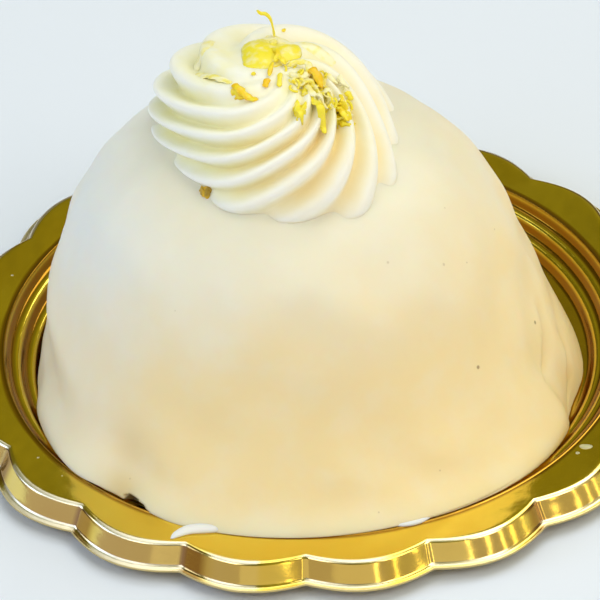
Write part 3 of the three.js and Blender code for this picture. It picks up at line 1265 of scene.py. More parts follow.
    def top_at(self, x: np.ndarray, y: np.ndarray) -> np.ndarray:
        """Finds the plain dome's surface over a place.

        Args:
            x: Places along X.
            y: Places along Y.

        Returns:
            The surface's height above the table.
        """
        low = np.full(np.shape(x), self.height / 3.0)
        high = np.full(np.shape(x), self.height)
        for _ in range(40):
            middle = (low + high) / 2.0
            away = np.hypot(x - self.centre[0] - self.lean * middle, y - self.centre[1])
            inside = away < self.plain_radius(middle)
            low = np.where(inside, middle, low)
            high = np.where(inside, high, middle)
        return self.plate.floor + (low + high) / 2.0

    def build(self) -> bpy.types.Object:
        """Makes the dome and enters it.

        Returns:
            The finished dome.
        """
        spin = self.crowded_turns()
        foot = np.linspace(0.0, self.foot_height, self.foot_rows, endpoint=False)
        foot = np.sort(np.append(foot, self.plate.rim_above_floor + np.array(self.lip_rows)))
        share = np.linspace(0.0, 1.0, self.wall_rows) ** 0.9
        wall = self.foot_height + (self.height - self.foot_height) * np.sin(share * math.pi / 2.0)
        heights = np.concatenate((foot, wall[:-1]))
        middle = np.array([[self.centre[0], self.centre[1], self.plate.floor]])
        top = (self.centre[0] + self.lean * self.height, self.centre[1], self.plate.floor + self.height)
        rings = [middle] + [self.ring(height, spin) for height in heights] + [np.array([top])]
        points = np.concatenate(rings)
        layers = {}
        for name, mark in (("shade", self.shade), ("ochre_shade", self.ochre_shade)):
            marks = [mark(height, spin) for height in heights]
            layers[name] = np.concatenate([np.zeros(1), *marks, np.zeros(1)])
        dome = loft("lemon_glaze_dome", rings, layers)
        waves = noise_field(points, self.wave_size, self.wave_seed) * self.wave_depth
        waves *= np.clip((points[:, 2] - self.plate.rim_top - self.wave_start) / self.wave_fade, 0.0, 1.0)
        side = points - np.array((self.centre[0], self.centre[1], 0.0))
        side[:, 2] = 0.0
        length = np.maximum(np.linalg.norm(side, axis=1), 1.0 * MM)
        moved = points + side / length[:, None] * waves[:, None]
        dome.data.vertices.foreach_set("co", moved.ravel())
        dome.data.materials.append(self.finish.material())
        enter(dome, Slot.LEMON_GLAZE, "glazed_dome")
        return dome


@dataclass(frozen=True)
class Trickle:
    """A thread of glaze on the rim.

    Attributes:
        waypoints: Its course as (degrees, radius, width), radius and width in millimetres.
        plumpness: Its height as a share of its width.
    """

    waypoints: tuple[tuple[float, float, float], ...]
    plumpness: float = 0.55


@dataclass(frozen=True)
class Spot:
    """A drop on the rim.

    Attributes:
        angle: Where it lies round the plate, in degrees.
        place: How far from the plate's middle it lies, in millimetres.
        length: Its length in millimetres.
        width: Its width in millimetres.
        heading: How far its length is turned from the way outwards, in degrees.
    """

    angle: float
    place: float
    length: float
    width: float
    heading: float = 0.0


def smooth_path(points: np.ndarray, steps: int) -> np.ndarray:
    """Runs a Catmull-Rom curve through points.

    Args:
        points: The waypoints, (count, values).
        steps: How many stretches each gap between two waypoints has.

    Returns:
        The curve's points.
    """
    padded = np.vstack((2.0 * points[0] - points[1], points, 2.0 * points[-1] - points[-2]))
    curve = []
    for index in range(1, len(padded) - 2):
        before, start, end, after = padded[index - 1:index + 3]
        for step in range(steps):
            t = step / steps
            bend = (2.0 * before - 5.0 * start + 4.0 * end - after) * t**2
            curl = (3.0 * start - before - 3.0 * end + after) * t**3
            curve.append(0.5 * (2.0 * start + (end - before) * t + bend + curl))
    curve.append(points[-1])
    return np.array(curve)


def join(name: str, parts: Sequence[bpy.types.Object]) -> bpy.types.Object:
    """Joins pieces of one kind into one mesh.

    Args:
        name: The joined piece's name.
        parts: The objects to join, which are used up.

    Returns:
        The joined object.
    """
    work = bmesh.new()
    for part in parts:
        work.from_mesh(part.data)
        bpy.data.objects.remove(part)
    mesh = bpy.data.meshes.new(name)
    work.to_mesh(mesh)
    work.free()
    return outward(bpy.data.objects.new(name, mesh))


@dataclass
class GlazeDrips:
    """What has run off the dome: a thread over the rim, rolls along the foot's edge and small drops."""

    plate: GoldPlate
    finish: LemonGlaze = LemonGlaze(
        pale=(0.93, 0.93, 0.93),
        warm=(0.93, 0.92, 0.90),
        milky=(0.95, 0.95, 0.97),
    )
    drop_finish: LemonGlaze = LemonGlaze(
        pale=(0.62, 0.58, 0.32),
        warm=(0.62, 0.56, 0.30),
        milky=(0.70, 0.66, 0.45),
    )
    trickles: tuple[Trickle, ...] = (
        Trickle((
            (-108.0, 42.6, 1.9),
            (-110.6, 43.4, 1.9),
            (-113.3, 44.5, 1.7),
            (-114.7, 45.9, 1.25),
            (-115.3, 47.2, 0.5),
        )),
        Trickle(((-77.0, 42.6, 0.3), (-75.0, 42.95, 0.7), (-72.5, 43.0, 0.75), (-70.0, 42.6, 0.3)), 0.8),
        Trickle(((-121.5, 42.7, 0.3), (-120.2, 43.1, 0.6), (-118.4, 43.1, 0.55), (-117.0, 42.7, 0.3)), 0.7),
    )
    drops: tuple[Spot, ...] = (
        Spot(-36.5, 44.9, 1.7, 1.15, 25.0),
        Spot(-38.7, 44.7, 0.62, 0.5),
        Spot(-147.7, 45.0, 0.35, 0.3),
        Spot(-141.0, 44.7, 0.22, 0.2),
        Spot(-31.0, 46.2, 0.3, 0.25),
        Spot(158.0, 45.4, 0.4, 0.3),
    )
    flatness: float = 0.28
    embedding: float = 0.12
    around: int = 20

    def thread(self, trickle: Trickle, name: str) -> bpy.types.Object:
        """Makes one thread of glaze that lies on the rim.

        Args:
            trickle: Its waypoints.
            name: Its name.

        Returns:
            The thread.
        """
        stations = smooth_path(np.array(trickle.waypoints), 8)
        angle = np.radians(stations[:, 0])
        radius = stations[:, 1] * MM
        path = np.column_stack((radius * np.cos(angle), radius * np.sin(angle)))
        along = np.gradient(path, axis=0)
        along /= np.linalg.norm(along, axis=1)[:, None]
        across = np.column_stack((-along[:, 1], along[:, 0]))
        outer = self.plate.rim_cusp_radius
        inner = self.plate.rim_inner_radius
        rings = []
        for index, (x, y) in enumerate(path):
            width = stations[index, 2] * MM
            round_off = math.sqrt(max(0.03, 1.0 - (2.0 * index / (len(path) - 1) - 1.0) ** 8))
            turn = turns(self.around)
            side = np.cos(turn) * width / 2.0 * round_off
            rise = np.sin(turn) * width * trickle.plumpness / 2.0 * round_off
            share = np.clip((radius[index] - inner) / (outer - inner), 0.0, 1.0)
            ground = self.plate.rim_top + share * self.plate.rim_rise + self.embedding * width
            sideways = across[index] * side[:, None]
            rings.append(np.column_stack((x + sideways[:, 0], y + sideways[:, 1], ground + rise)))
        return loft(name, capped(rings))

    def drop(self, spot: Spot, name: str) -> bpy.types.Object:
        """Makes one flat drop on the rim.

        Args:
            spot: Its place and size.
            name: Its name.

        Returns:
            The drop.
        """
        angle = math.radians(spot.angle)
        heading = angle + math.radians(spot.heading)
        spin = turns(self.around)
        edge = 1.0 + 0.10 * np.sin(2.0 * spin + spot.angle) + 0.06 * np.sin(3.0 * spin)
        rings = []
        for slope in np.linspace(-0.5, 0.5, 9)[1:-1] * math.pi:
            length = spot.length * MM / 2.0 * math.cos(slope) * edge * np.cos(spin)
            width = spot.width * MM / 2.0 * math.cos(slope) * edge * np.sin(spin)
            rise = spot.width * MM / 2.0 * self.flatness * math.sin(slope)
            x = spot.place * MM * math.cos(angle) + length * math.cos(heading) - width * math.sin(heading)
            y = spot.place * MM * math.sin(angle) + length * math.sin(heading) + width * math.cos(heading)
            rings.append(np.column_stack((x, y, np.full(len(spin), self.rim_height(spot) + rise))))
        return loft(name, capped(rings))

    def rim_height(self, spot: Spot) -> float:
        """Returns the height of the rim's top under a drop."""
        inner = self.plate.rim_inner_radius + self.plate.bead_width
        share = (spot.place * MM - inner) / (self.plate.rim_cusp_radius - inner)
        return self.plate.rim_top + min(1.0, max(0.0, share)) * self.plate.rim_rise

    def build(self) -> None:
        """Makes the threads and the drops, and enters them."""
        threads = join("glaze_threads", [self.thread(each, "thread") for each in self.trickles])
        threads.data.materials.append(self.finish.material("glaze_threads"))
        drops = join("glaze_drops", [self.drop(each, "drop") for each in self.drops])
        drops.data.materials.append(self.drop_finish.material("glaze_drops"))
        for piece in (threads, drops):
            enter(piece, Slot.LEMON_GLAZE)


# ---- Cream swirl ----


@dataclass
class CreamSwirl:
    """The piped rosette: ridges that wind from its rim up to a soft curl.

    Its outline in plan is a circle that is shifted, stretched, given a belly and trimmed at set angles.
    Shares run from 0 at the tip to 1 at the rim. The ridges melt into each other at the rim, and most where
    it is calm. Its stains are (x, y, reach, strength), the first three in millimetres.
    """

    dome: GlazedDome
    finish: PipedCream = field(default_factory=PipedCream)
    centre: tuple[float, float] = (0.0, -1.5 * MM)
    radius: float = 18.3 * MM
    top: float = 52.7 * MM
    side_fullness: float = 0.655
    top_fullness: float = 1.2
    ridge_count: int = 11
    ridge_start: float = math.radians(127)
    twist: float = math.radians(158)
    twist_power: float = 0.85
    twist_ease: float = 0.23
    twist_ease_angle: float = math.radians(116)
    offset: float = 0.263
    offset_angle: float = math.radians(132)
    stretch: float = 0.161
    stretch_angle: float = math.radians(110)
    tip_shift: tuple[float, float] = (-3.1 * MM, -2.1 * MM)
    belly: float = 1.9 * MM
    belly_angle: float = math.radians(-122)
    belly_spread: float = math.radians(36)
    ridge_depth: float = 0.14
    ridge_sharpness: float = 1.2
    ridge_melt: float = 0.45
    ridge_melt_start: float = 0.72
    ridge_rise: float = 2.5
    contact_shade_start: float = 0.94
    calm: float = 0.4
    calm_angle: float = math.radians(-150)
    calm_spread: float = math.radians(45)
    trim: float = 1.2 * MM
    trim_angle: float = math.radians(-98)
    trim_spread: float = math.radians(22)
    stains: tuple[tuple[float, float, float, float], ...] = (
        (-4.0, 1.0, 4.2, 0.85),
        (0.8, -6.0, 4.2, 0.75),
        (1.8, 2.4, 3.6, 0.5),
        (-12.6, 4.0, 3.6, 0.5),
        (-11.5, -2.0, 3.0, 0.5),
        (4.8, -8.8, 3.6, 0.65),
        (-8.2, -7.0, 2.0, 0.4),
    )
    columns: int = 396
    rows: int = 150
    under_rows: int = 14
    sink: float = 0.4 * MM

    def outline(self, angle: np.ndarray) -> np.ndarray:
        """Returns the rosette's radius in plan at an angle."""
        shift = self.offset * np.cos(angle - self.offset_angle)
        oval = self.stretch * np.cos(2.0 * (angle - self.stretch_angle))
        belly = self.belly * bell(wrapped(angle - self.belly_angle), self.belly_spread)
        trim = self.trim * bell(wrapped(angle - self.trim_angle), self.trim_spread)
        return self.radius * (1.0 + shift + oval) + belly - trim

    def skin(self, spin: np.ndarray, share: float) -> tuple[np.ndarray, np.ndarray]:
        """Works out one ring of the rosette before its ridges are cut.

        Args:
            spin: The ridge angle of each column.
            share: 0 at the tip and 1 at the rim.

        Returns:
            The points that the ridges are cut towards, and the way from them to the skin.
        """
        ease = 1.0 + self.twist_ease * np.cos(spin - self.twist_ease_angle)
        angle = spin + self.twist * (1.0 - share**self.twist_power) * ease
        radius = self.outline(angle) * math.sin(share * math.pi / 2.0) ** self.side_fullness
        shift = 1.0 - share**2
        middle_x = self.centre[0] + self.tip_shift[0] * shift
        middle_y = self.centre[1] + self.tip_shift[1] * shift
        edge_x = self.centre[0] + self.outline(angle) * np.cos(angle)
        edge_y = self.centre[1] + self.outline(angle) * np.sin(angle)
        edge = self.dome.top_at(edge_x, edge_y) - self.sink
        rise = (self.top - edge) * math.cos(share * math.pi / 2.0) ** self.top_fullness
        anchor = np.column_stack((np.full(len(spin), middle_x), np.full(len(spin), middle_y), edge))
        return anchor, np.column_stack((radius * np.cos(angle), radius * np.sin(angle), rise))

    def juice_at(self, points: np.ndarray) -> np.ndarray:
        """Returns how much juice stains the cream at each point, from 0 to 1."""
        juice = np.zeros(len(points))
        for x, y, reach, strength in self.stains:
            away = np.hypot(points[:, 0] - x * MM, points[:, 1] - y * MM)
            juice = np.maximum(juice, strength * bell(away, reach * MM))
        return juice

    def ridge_tree(self) -> bpy.types.NodeTree:
        """Builds the tree that cuts the grooves between the ridges."""
        sockets = {
            "Ridges": "NodeSocketInt",
            "Ridge Depth": "NodeSocketFloat",
            "Sharpness": "NodeSocketFloat",
            "Start Angle": "NodeSocketFloat",
            "Finish": "NodeSocketMaterial",
        }
        graph, given = geometry_tree("piped_ridges", sockets)
        pull = graph.add("GeometryNodeInputNamedAttribute", {"Name": "pull"}, data_type="FLOAT_VECTOR")
        turn = graph.math("SUBTRACT", graph.mark("ridge_angle"), given["Start Angle"])
        phase = graph.math("MULTIPLY", turn, given["Ridges"])
        crest = graph.math("ABSOLUTE", graph.math("COSINE", graph.math("MULTIPLY", phase, 0.5)))
        dip = graph.math("SUBTRACT", 1.0, graph.math("MULTIPLY", crest, crest), clamp=True)
        sharp = graph.math("POWER", dip, given["Sharpness"])
        groove = graph.math("MULTIPLY", sharp, graph.mark("ridge_fade"))
        depth = graph.math("MULTIPLY", groove, given["Ridge Depth"])
        move = graph.vector("SCALE", pull.outputs[0], scale=graph.math("MULTIPLY", depth, -1.0))
        cut = graph.add("GeometryNodeSetPosition", {"Geometry": given["Geometry"], "Offset": move}).outputs[0]
        # Painted shade: the grooves and the rosette's underside are marked for the warm hollow colour.
        hollow = graph.math("MAXIMUM", groove, graph.mark("contact_shade"))
        stored = {"Geometry": cut, "Name": "hollow", "Value": hollow}
        marked = graph.add("GeometryNodeStoreNamedAttribute", stored, data_type="FLOAT", domain="POINT")
        return close_tree(graph, marked.outputs[0], given["Finish"])

    def build(self) -> bpy.types.Object:
        """Makes the rosette and enters it.

        Returns:
            The finished rosette.
        """
        spin = turns(self.columns, self.ridge_start)
        shares = np.linspace(0.0, 1.0, self.rows + 1)[1:]
        tip_anchor, tip_pull = self.skin(spin[:1], 0.0)
        rings = [tip_anchor + tip_pull]
        pulls = [np.zeros((1, 3))]
        fades = [np.zeros(1)]
        contact_shades = [np.zeros(1)]
        for share in shares:
            anchor, pull = self.skin(spin, share)
            rings.append(anchor + pull)
            pulls.append(pull)
            low = min(1.0, max(0.0, (share - self.ridge_melt_start) / (1.0 - self.ridge_melt_start))) ** 1.5
            calm = self.calm * bell(wrapped(spin - self.calm_angle), self.calm_spread)
            fades.append(min(1.0, self.ridge_rise * share) * (1.0 - (self.ridge_melt + calm) * low))
            # Painted contact shade on the rim's last rows.
            contact_shade = max(0.0, (share - self.contact_shade_start) / (1.0 - self.contact_shade_start))
            contact_shades.append(np.full(len(spin), contact_shade))
        edge = rings[-1]
        for row in range(1, self.under_rows):
            inward = 1.0 - row / self.under_rows
            x = self.centre[0] + (edge[:, 0] - self.centre[0]) * inward
            y = self.centre[1] + (edge[:, 1] - self.centre[1]) * inward
            rings.append(np.column_stack((x, y, self.dome.top_at(x, y) - self.sink)))
            pulls.append(pulls[-1] * inward)
            fades.append(fades[-1])
            contact_shades.append(np.ones(len(spin)))
        x, y = np.array([self.centre[0]]), np.array([self.centre[1]])
        rings.append(np.column_stack((x, y, self.dome.top_at(x, y) - self.sink)))
        pulls.append(np.zeros((1, 3)))
        fades.append(np.zeros(1))
        contact_shades.append(np.ones(1))
        angles = np.concatenate([spin if len(ring) > 1 else spin[:1] for ring in rings])
        for pull in pulls[self.rows + 1:]:
            pull[:, 2] = 0.0
        layers = {
            "ridge_angle": angles,
            "ridge_fade": np.concatenate(fades),
            "pull": np.concatenate(pulls),
            "contact_shade": np.concatenate(contact_shades),
            "juice": self.juice_at(np.concatenate(rings)),
        }
        swirl = loft("piped_cream_swirl", rings, layers)
        inputs = {
            "Ridges": self.ridge_count,
            "Ridge Depth": self.ridge_depth,
            "Sharpness": self.ridge_sharpness,
            "Start Angle": self.ridge_start,
            "Finish": self.finish.material(),
        }
        bake_nodes(swirl, self.ridge_tree(), inputs)
        enter(swirl, Slot.PIPED_CREAM, "cream_swirl")
        return swirl


# ---- Zest garnish ----


@dataclass(frozen=True)
class Shred:
    """A strip of peel.

    Attributes:
        waypoints: Its places as (x, y, lift above what lies under it), in millimetres.
        width: Its width in millimetres.
        ripeness: Its tone, 0 for pale pith, 0.5 for yellow peel and 1 for amber.
        twist: How far it turns about its own length, in degrees.
        thickness: Its thickness as a share of the width.
        lean: How far it starts turned, in degrees.
    """

    waypoints: tuple[tuple[float, float, float], ...]
    width: float
    ripeness: float
    twist: float = 60.0
    thickness: float = 0.4
    lean: float = 0.0


@dataclass(frozen=True)
class Pulp:
    """A soft clump of grated peel, or a patch that fine shreds are strewn on.

    Attributes:
        x: Its middle along X, in millimetres.
        y: Its middle along Y, in millimetres.
        length: Half its length in millimetres.
        width: Half its width in millimetres.
        height: Its height in millimetres.
        ripeness: Its tone, as a strip's.
        heading: How far its length is turned from X, in degrees.
        on_glaze: Whether it lies on the glaze alone.
        roughness: How lumpy it is, 1 for a heap and near 0 for a smear.
    """

    x: float
    y: float
    length: float
    width: float
    height: float
    ripeness: float
    heading: float = 0.0
    on_glaze: bool = False
    roughness: float = 1.0


@dataclass
class ZestGarnish:
    """The grated peel on the swirl: soft clumps, curled strips and fine scattered shreds.

    A clump is a smear where it is hardly rough. Its lumps are noise fields of (size, seed, depth).
    """

    swirl: bpy.types.Object
    dome: bpy.types.Object
    finish: LemonZest = field(default_factory=LemonZest)
    clumps: tuple[Pulp, ...] = (
        Pulp(-4.4, 1.2, 4.2, 4.0, 0.7, 0.42, 12.0, roughness=0.04),
        Pulp(-3.2, 5.2, 2.4, 1.5, 0.2, 0.16, 8.0, roughness=0.1),
        Pulp(0.9, -5.6, 2.6, 2.7, 0.5, 0.34, 30.0, roughness=0.6),
        Pulp(1.9, 2.6, 3.0, 1.1, 0.13, 0.14, -28.0, roughness=0.1),
        Pulp(4.9, -8.7, 1.5, 2.0, 0.5, 0.66, 20.0),
        Pulp(-0.5, -10.8, 1.0, 1.7, 0.6, 0.50, -12.0),
        Pulp(2.6, -8.4, 1.6, 1.4, 0.5, 0.36, 40.0),
        Pulp(-13.2, 5.2, 1.5, 2.6, 0.12, 0.14, -25.0, roughness=0.1),
        Pulp(-8.6, -7.1, 1.0, 0.8, 0.5, 0.86, -20.0, roughness=0.5),
        Pulp(-13.5, -12.4, 1.0, 0.75, 1.0, 1.35, -25.0, True),
        Pulp(5.4, -4.3, 1.2, 0.8, 0.5, 0.06, 10.0),
    )
    strips: tuple[Shred, ...] = (
        Shred((
            (-3.6, 6.2, 0.0),
            (-3.7, 6.0, 1.4),
            (-4.0, 5.9, 3.0),
            (-4.6, 5.8, 3.7),
            (-5.3, 5.8, 3.7),
            (-5.8, 5.8, 4.2),
        ), 0.6, 0.56, 70.0, 0.5, 40.0),
        Shred(((-3.3, 5.8, 0.1), (-3.7, 4.4, 0.4), (-3.9, 3.0, 0.5)), 1.0, 0.3),
        Shred(((-4.3, 1.6, 0.5), (-3.4, 0.5, 0.9), (-3.2, -0.9, 0.9), (-3.7, -2.0, 0.6)), 0.8, 0.68, 90.0),
        Shred(((-3.6, -0.8, 0.7), (-2.7, -1.8, 0.8), (-2.3, -2.7, 0.5)), 0.75, 0.62, 60.0),
        Shred(((-3.9, -2.0, 0.6), (-4.2, -3.4, 0.6), (-4.5, -4.9, 0.35)), 0.6, 0.80, 40.0),
        Shred(((-4.7, -5.6, 0.3), (-4.9, -6.3, 0.35), (-5.1, -6.9, 0.2)), 0.95, 0.93, 30.0, 0.6),
        Shred(((-3.0, -4.2, 0.25), (-3.1, -5.8, 0.3), (-3.2, -7.2, 0.15)), 0.7, 0.55, 20.0),
        Shred((
            (-2.0, -3.0, 0.4),
            (-0.6, -2.4, 0.9),
            (0.8, -3.1, 0.9),
            (0.7, -4.8, 0.7),
            (-0.6, -5.4, 0.6),
            (-1.8, -4.6, 0.5),
        ), 0.85, 0.28, 120.0),
        Shred(((-1.6, -5.8, 0.4), (-0.3, -6.8, 0.5), (1.0, -6.3, 0.7)), 0.8, 0.26, 80.0),
        Shred(((0.9, -3.2, 0.7), (1.3, -4.4, 1.0), (2.0, -5.6, 1.0), (2.5, -6.8, 0.7)),
              1.25, 0.97, 50.0, 0.6),
        Shred(((3.3, -2.6, 0.3), (4.0, -3.3, 0.5), (4.7, -3.6, 0.3)), 0.75, 0.22, 60.0),
        Shred(((4.8, -2.7, 0.3), (5.3, -3.6, 0.5), (6.2, -4.1, 0.3)), 0.8, 0.02, 60.0),
        Shred(((5.5, -4.4, 0.2), (6.1, -4.9, 0.35), (6.3, -5.4, 0.2)), 0.85, 0.60, 20.0, 0.7),
        Shred(((1.0, -8.3, 0.5), (1.8, -10.2, 0.9), (2.3, -11.6, 0.9), (2.6, -12.8, 0.4)),
              1.0, 0.56, 35.0, 0.45),
        Shred(((-0.9, -9.6, 0.5), (-0.8, -11.2, 0.8), (-0.3, -12.6, 0.4)), 0.95, 0.52, 50.0),
        Shred(((0.3, -7.3, 0.4), (1.7, -8.6, 0.8), (3.2, -9.6, 0.5)), 0.8, 0.15, 90.0),
        Shred(((2.2, -7.2, 0.5), (3.6, -7.5, 0.7), (4.9, -7.3, 0.4)), 0.85, 0.10, 70.0),
        Shred(((4.0, -7.6, 0.4), (5.0, -8.9, 0.7), (5.8, -10.3, 0.4)), 1.0, 0.74, 45.0),
        Shred(((-9.3, -5.6, 0.15), (-8.6, -7.0, 0.4), (-7.4, -8.1, 0.3), (-6.1, -8.9, 0.1)),
              1.15, 0.84, 20.0, 0.5),
        Shred(((-14.3, 0.9, 0.05), (-12.9, -0.6, 0.15), (-11.3, -2.4, 0.15), (-9.6, -4.6, 0.1)),
              1.5, 0.2, 6.0, 0.2),
        Shred(((-6.7, -3.7, 0.1), (-6.4, -4.1, 0.2)), 0.6, 0.55, 10.0, 0.7),
        Shred(((-2.5, 8.0, 0.1), (-2.1, 8.5, 0.25)), 0.5, 0.75, 10.0, 0.7),
    )
    patches: tuple[Pulp, ...] = (
        Pulp(-3.6, -1.8, 2.2, 1.8, 0.4, 0.35),
        Pulp(0.9, -5.4, 2.8, 2.9, 0.5, 0.30),
        Pulp(4.0, -8.2, 2.4, 2.4, 0.4, 0.45),
    )
    shreds_per_square_mm: float = 0.7
    shred_radius: float = 0.7 * MM
    shred_width: float = 0.17 * MM
    shred_sizes: tuple[float, float] = (0.55, 1.25)
    shred_tones: tuple[float, float] = (0.05, 0.66)
    seed: int = 11
    along: int = 10
    around: int = 12
    smear_limit: float = 0.2
    smear_bridge: float = 0.8 * MM
    bed: float = 0.06 * MM
    lumps: tuple[tuple[float, int, float], ...] = ((0.9 * MM, 23, 0.16 * MM), (2.2 * MM, 29, 0.2 * MM))

    def __post_init__(self) -> None:
        """Prepares the search for what lies under a place."""
        self.ground: list[BVHTree] = []
        for piece in (self.swirl, self.dome):
            corners = [vertex.co.copy() for vertex in piece.data.vertices]
            faces = [tuple(polygon.vertices) for polygon in piece.data.polygons]
            self.ground.append(BVHTree.FromPolygons(corners, faces))

    def surface(self, x: float, y: float, on_glaze: bool = False) -> float:
        """Returns the height of what lies under a place: the cream or the glaze, or the glaze alone."""
        start = Vector((x, y, 0.1))
        down = Vector((0.0, 0.0, -1.0))
        hits = [tree.ray_cast(start, down)[0] for tree in self.ground[1 if on_glaze else 0:]]
        return max(hit.z for hit in hits if hit is not None)

    def draped(self, x: float, y: float, pulp: Pulp) -> float:
        """Returns the height at which a clump lies over a place, since a smear bridges the grooves."""
        below = self.surface(x, y, pulp.on_glaze)
        if pulp.roughness > self.smear_limit:
            return below
        reach = self.smear_bridge
        ways = ((reach, 0.0), (-reach, 0.0), (0.0, reach), (0.0, -reach))
        beside = max(self.surface(x + dx, y + dy) for dx, dy in ways)
        return max(below, 0.5 * (beside + below))

    def strip(self, shred: Shred) -> bpy.types.Object:
        """Makes one strip of peel.

        Args:
            shred: Its course, width and tone.

        Returns:
            The strip.
        """
        stations = smooth_path(np.array(shred.waypoints) * MM, self.along)
        heights = np.array([self.surface(x, y) for x, y, _ in stations])
        soft = np.convolve(np.pad(heights, 3, mode="edge"), np.ones(7) / 7.0, mode="valid")
        path = np.column_stack((stations[:, :2], np.maximum(soft, heights) + stations[:, 2]))
        along = np.gradient(path, axis=0)
        along /= np.linalg.norm(along, axis=1)[:, None]
        across = np.cross(along, (0.0, 0.0, 1.0))
        across /= np.maximum(np.linalg.norm(across, axis=1), 1e-9)[:, None]
        above = np.cross(across, along)
        turn = turns(self.around)
        rings = []
        for index, place in enumerate(path):
            share = index / (len(path) - 1)
            taper = math.sqrt(max(0.06, 1.0 - abs(2.0 * share - 1.0) ** 5))
            taper *= 1.0 + 0.15 * math.sin(9.0 * share + place[0] * 4e3)
            roll = math.radians(shred.lean + shred.twist * (share - 0.5))
            side = np.cos(turn) * shred.width * MM / 2.0 * taper
            rise = np.sin(turn) * shred.width * shred.thickness * MM / 2.0 * taper
            flat = side * math.cos(roll) - rise * math.sin(roll)
            tall = side * math.sin(roll) + rise * math.cos(roll)
            rings.append(place + flat[:, None] * across[index] + tall[:, None] * above[index])
        count = self.around * len(rings) + 2
        return loft("strip", capped(rings), {"ripeness": np.full(count, shred.ripeness)})

    def clump(self, pulp: Pulp) -> bpy.types.Object:
        """Makes one soft clump that lies on the cream.

        Args:
            pulp: Its place, size and tone.

        Returns:
            The clump.
        """
        spin = turns(40)
        heading = math.radians(pulp.heading)
        wander = 0.16 * np.sin(3.0 * spin + pulp.x) + 0.10 * np.sin(5.0 * spin + 2.0 * pulp.y)
        wander += 0.05 * np.sin(9.0 * spin)
        edge = 1.0 + wander * min(1.0, 0.4 + pulp.roughness)
        shares = np.linspace(0.0, 1.0, 13)[1:]
        rings = []
        for upper in (True, False):
            for share in shares if upper else shares[-2::-1]:
                side = pulp.length * MM * share * edge * np.cos(spin)
                deep = pulp.width * MM * share * edge * np.sin(spin)
                x = pulp.x * MM + side * math.cos(heading) - deep * math.sin(heading)
                y = pulp.y * MM + side * math.sin(heading) + deep * math.cos(heading)
                bare = np.array([self.surface(*place, pulp.on_glaze) for place in zip(x, y)])
                draped = np.array([self.draped(*place, pulp) for place in zip(x, y)])
                ground = bare + (draped - bare) * (1.0 - share**2)
                lump = pulp.height * MM * (1.0 - share**2.2) if upper else -0.3 * MM * (1.0 - share)
                rings.append(np.column_stack((x, y, ground + lump - self.bed)))
        rings = capped(rings)
        points = np.concatenate(rings)
        piece = loft("clump", rings, {"ripeness": np.full(len(points), pulp.ripeness)})
        rough = sum(noise_field(points, size, seed) * depth for size, seed, depth in self.lumps)
        inner_top = 1 + (len(shares) - 1) * len(spin)
        points[:inner_top, 2] += rough[:inner_top] * pulp.roughness
        piece.data.vertices.foreach_set("co", points.ravel())
        return piece

    def scatter_tree(self) -> bpy.types.NodeTree:
        """Builds the tree that strews fine curled shreds over the patches."""
        sockets = {
            "Density": "NodeSocketFloat",
            "Curl Radius": "NodeSocketFloat",
            "Shred Width": "NodeSocketFloat",
            "Seed": "NodeSocketInt",
            "Finish": "NodeSocketMaterial",
        }
        graph, given = geometry_tree("strewn_zest", sockets)
        spread = {"Mesh": given["Geometry"], "Density": given["Density"], "Seed": given["Seed"]}
        points = graph.add("GeometryNodeDistributePointsOnFaces", spread, distribute_method="RANDOM")
        curl = {"Resolution": 7, "Radius": given["Curl Radius"], "Sweep Angle": math.radians(150)}
        arc = graph.add("GeometryNodeCurveArc", curl, mode="RADIUS").outputs["Curve"]
        circle = {"Resolution": 5, "Radius": given["Shred Width"]}
        ring = graph.add("GeometryNodeCurvePrimitiveCircle", circle, mode="RADIUS").outputs["Curve"]
        tube = {"Curve": arc, "Profile Curve": ring, "Fill Caps": True}
        shred = graph.add("GeometryNodeCurveToMesh", tube).outputs["Mesh"]
        turn = {0: (-0.9, -0.9, 0.0), 1: (0.9, 0.9, 2.0 * math.pi), "Seed": given["Seed"]}
        rotation = graph.add("FunctionNodeRandomValue", turn, data_type="FLOAT_VECTOR").outputs["Value"]
        size, tone = (
            graph.add("FunctionNodeRandomValue", {2: least, 3: most, "Seed": given["Seed"]}).outputs[1]
            for least, most in (self.shred_sizes, self.shred_tones)
        )
        place = {"Points": points.outputs["Points"], "Instance": shred, "Rotation": rotation, "Scale": size}
        strewn = graph.add("GeometryNodeInstanceOnPoints", place).outputs["Instances"]
        stored = {"Geometry": strewn, "Name": "ripeness", "Value": tone}
        marked = graph.add("GeometryNodeStoreNamedAttribute", stored, data_type="FLOAT", domain="INSTANCE")
        return close_tree(graph, marked.outputs[0], given["Finish"])

    def patch(self, pulp: Pulp) -> bpy.types.Object:
        """Makes the thin patch of surface that fine shreds are strewn on.

        Args:
            pulp: The patch's place and size.

        Returns:
            The patch.
        """
        spin = turns(20)
        x, y = pulp.x * MM, pulp.y * MM
        rings = [np.array([[x, y, self.surface(x, y) + pulp.height * MM]])]
        for share in (0.35, 0.7, 1.0):
            x = (pulp.x + pulp.length * share * np.cos(spin)) * MM
            y = (pulp.y + pulp.width * share * np.sin(spin)) * MM
            ground = np.array([self.surface(*place) for place in zip(x, y)])
            rings.append(np.column_stack((x, y, ground + pulp.height * MM * (1.0 - 0.8 * share))))
        return loft("patch", rings)

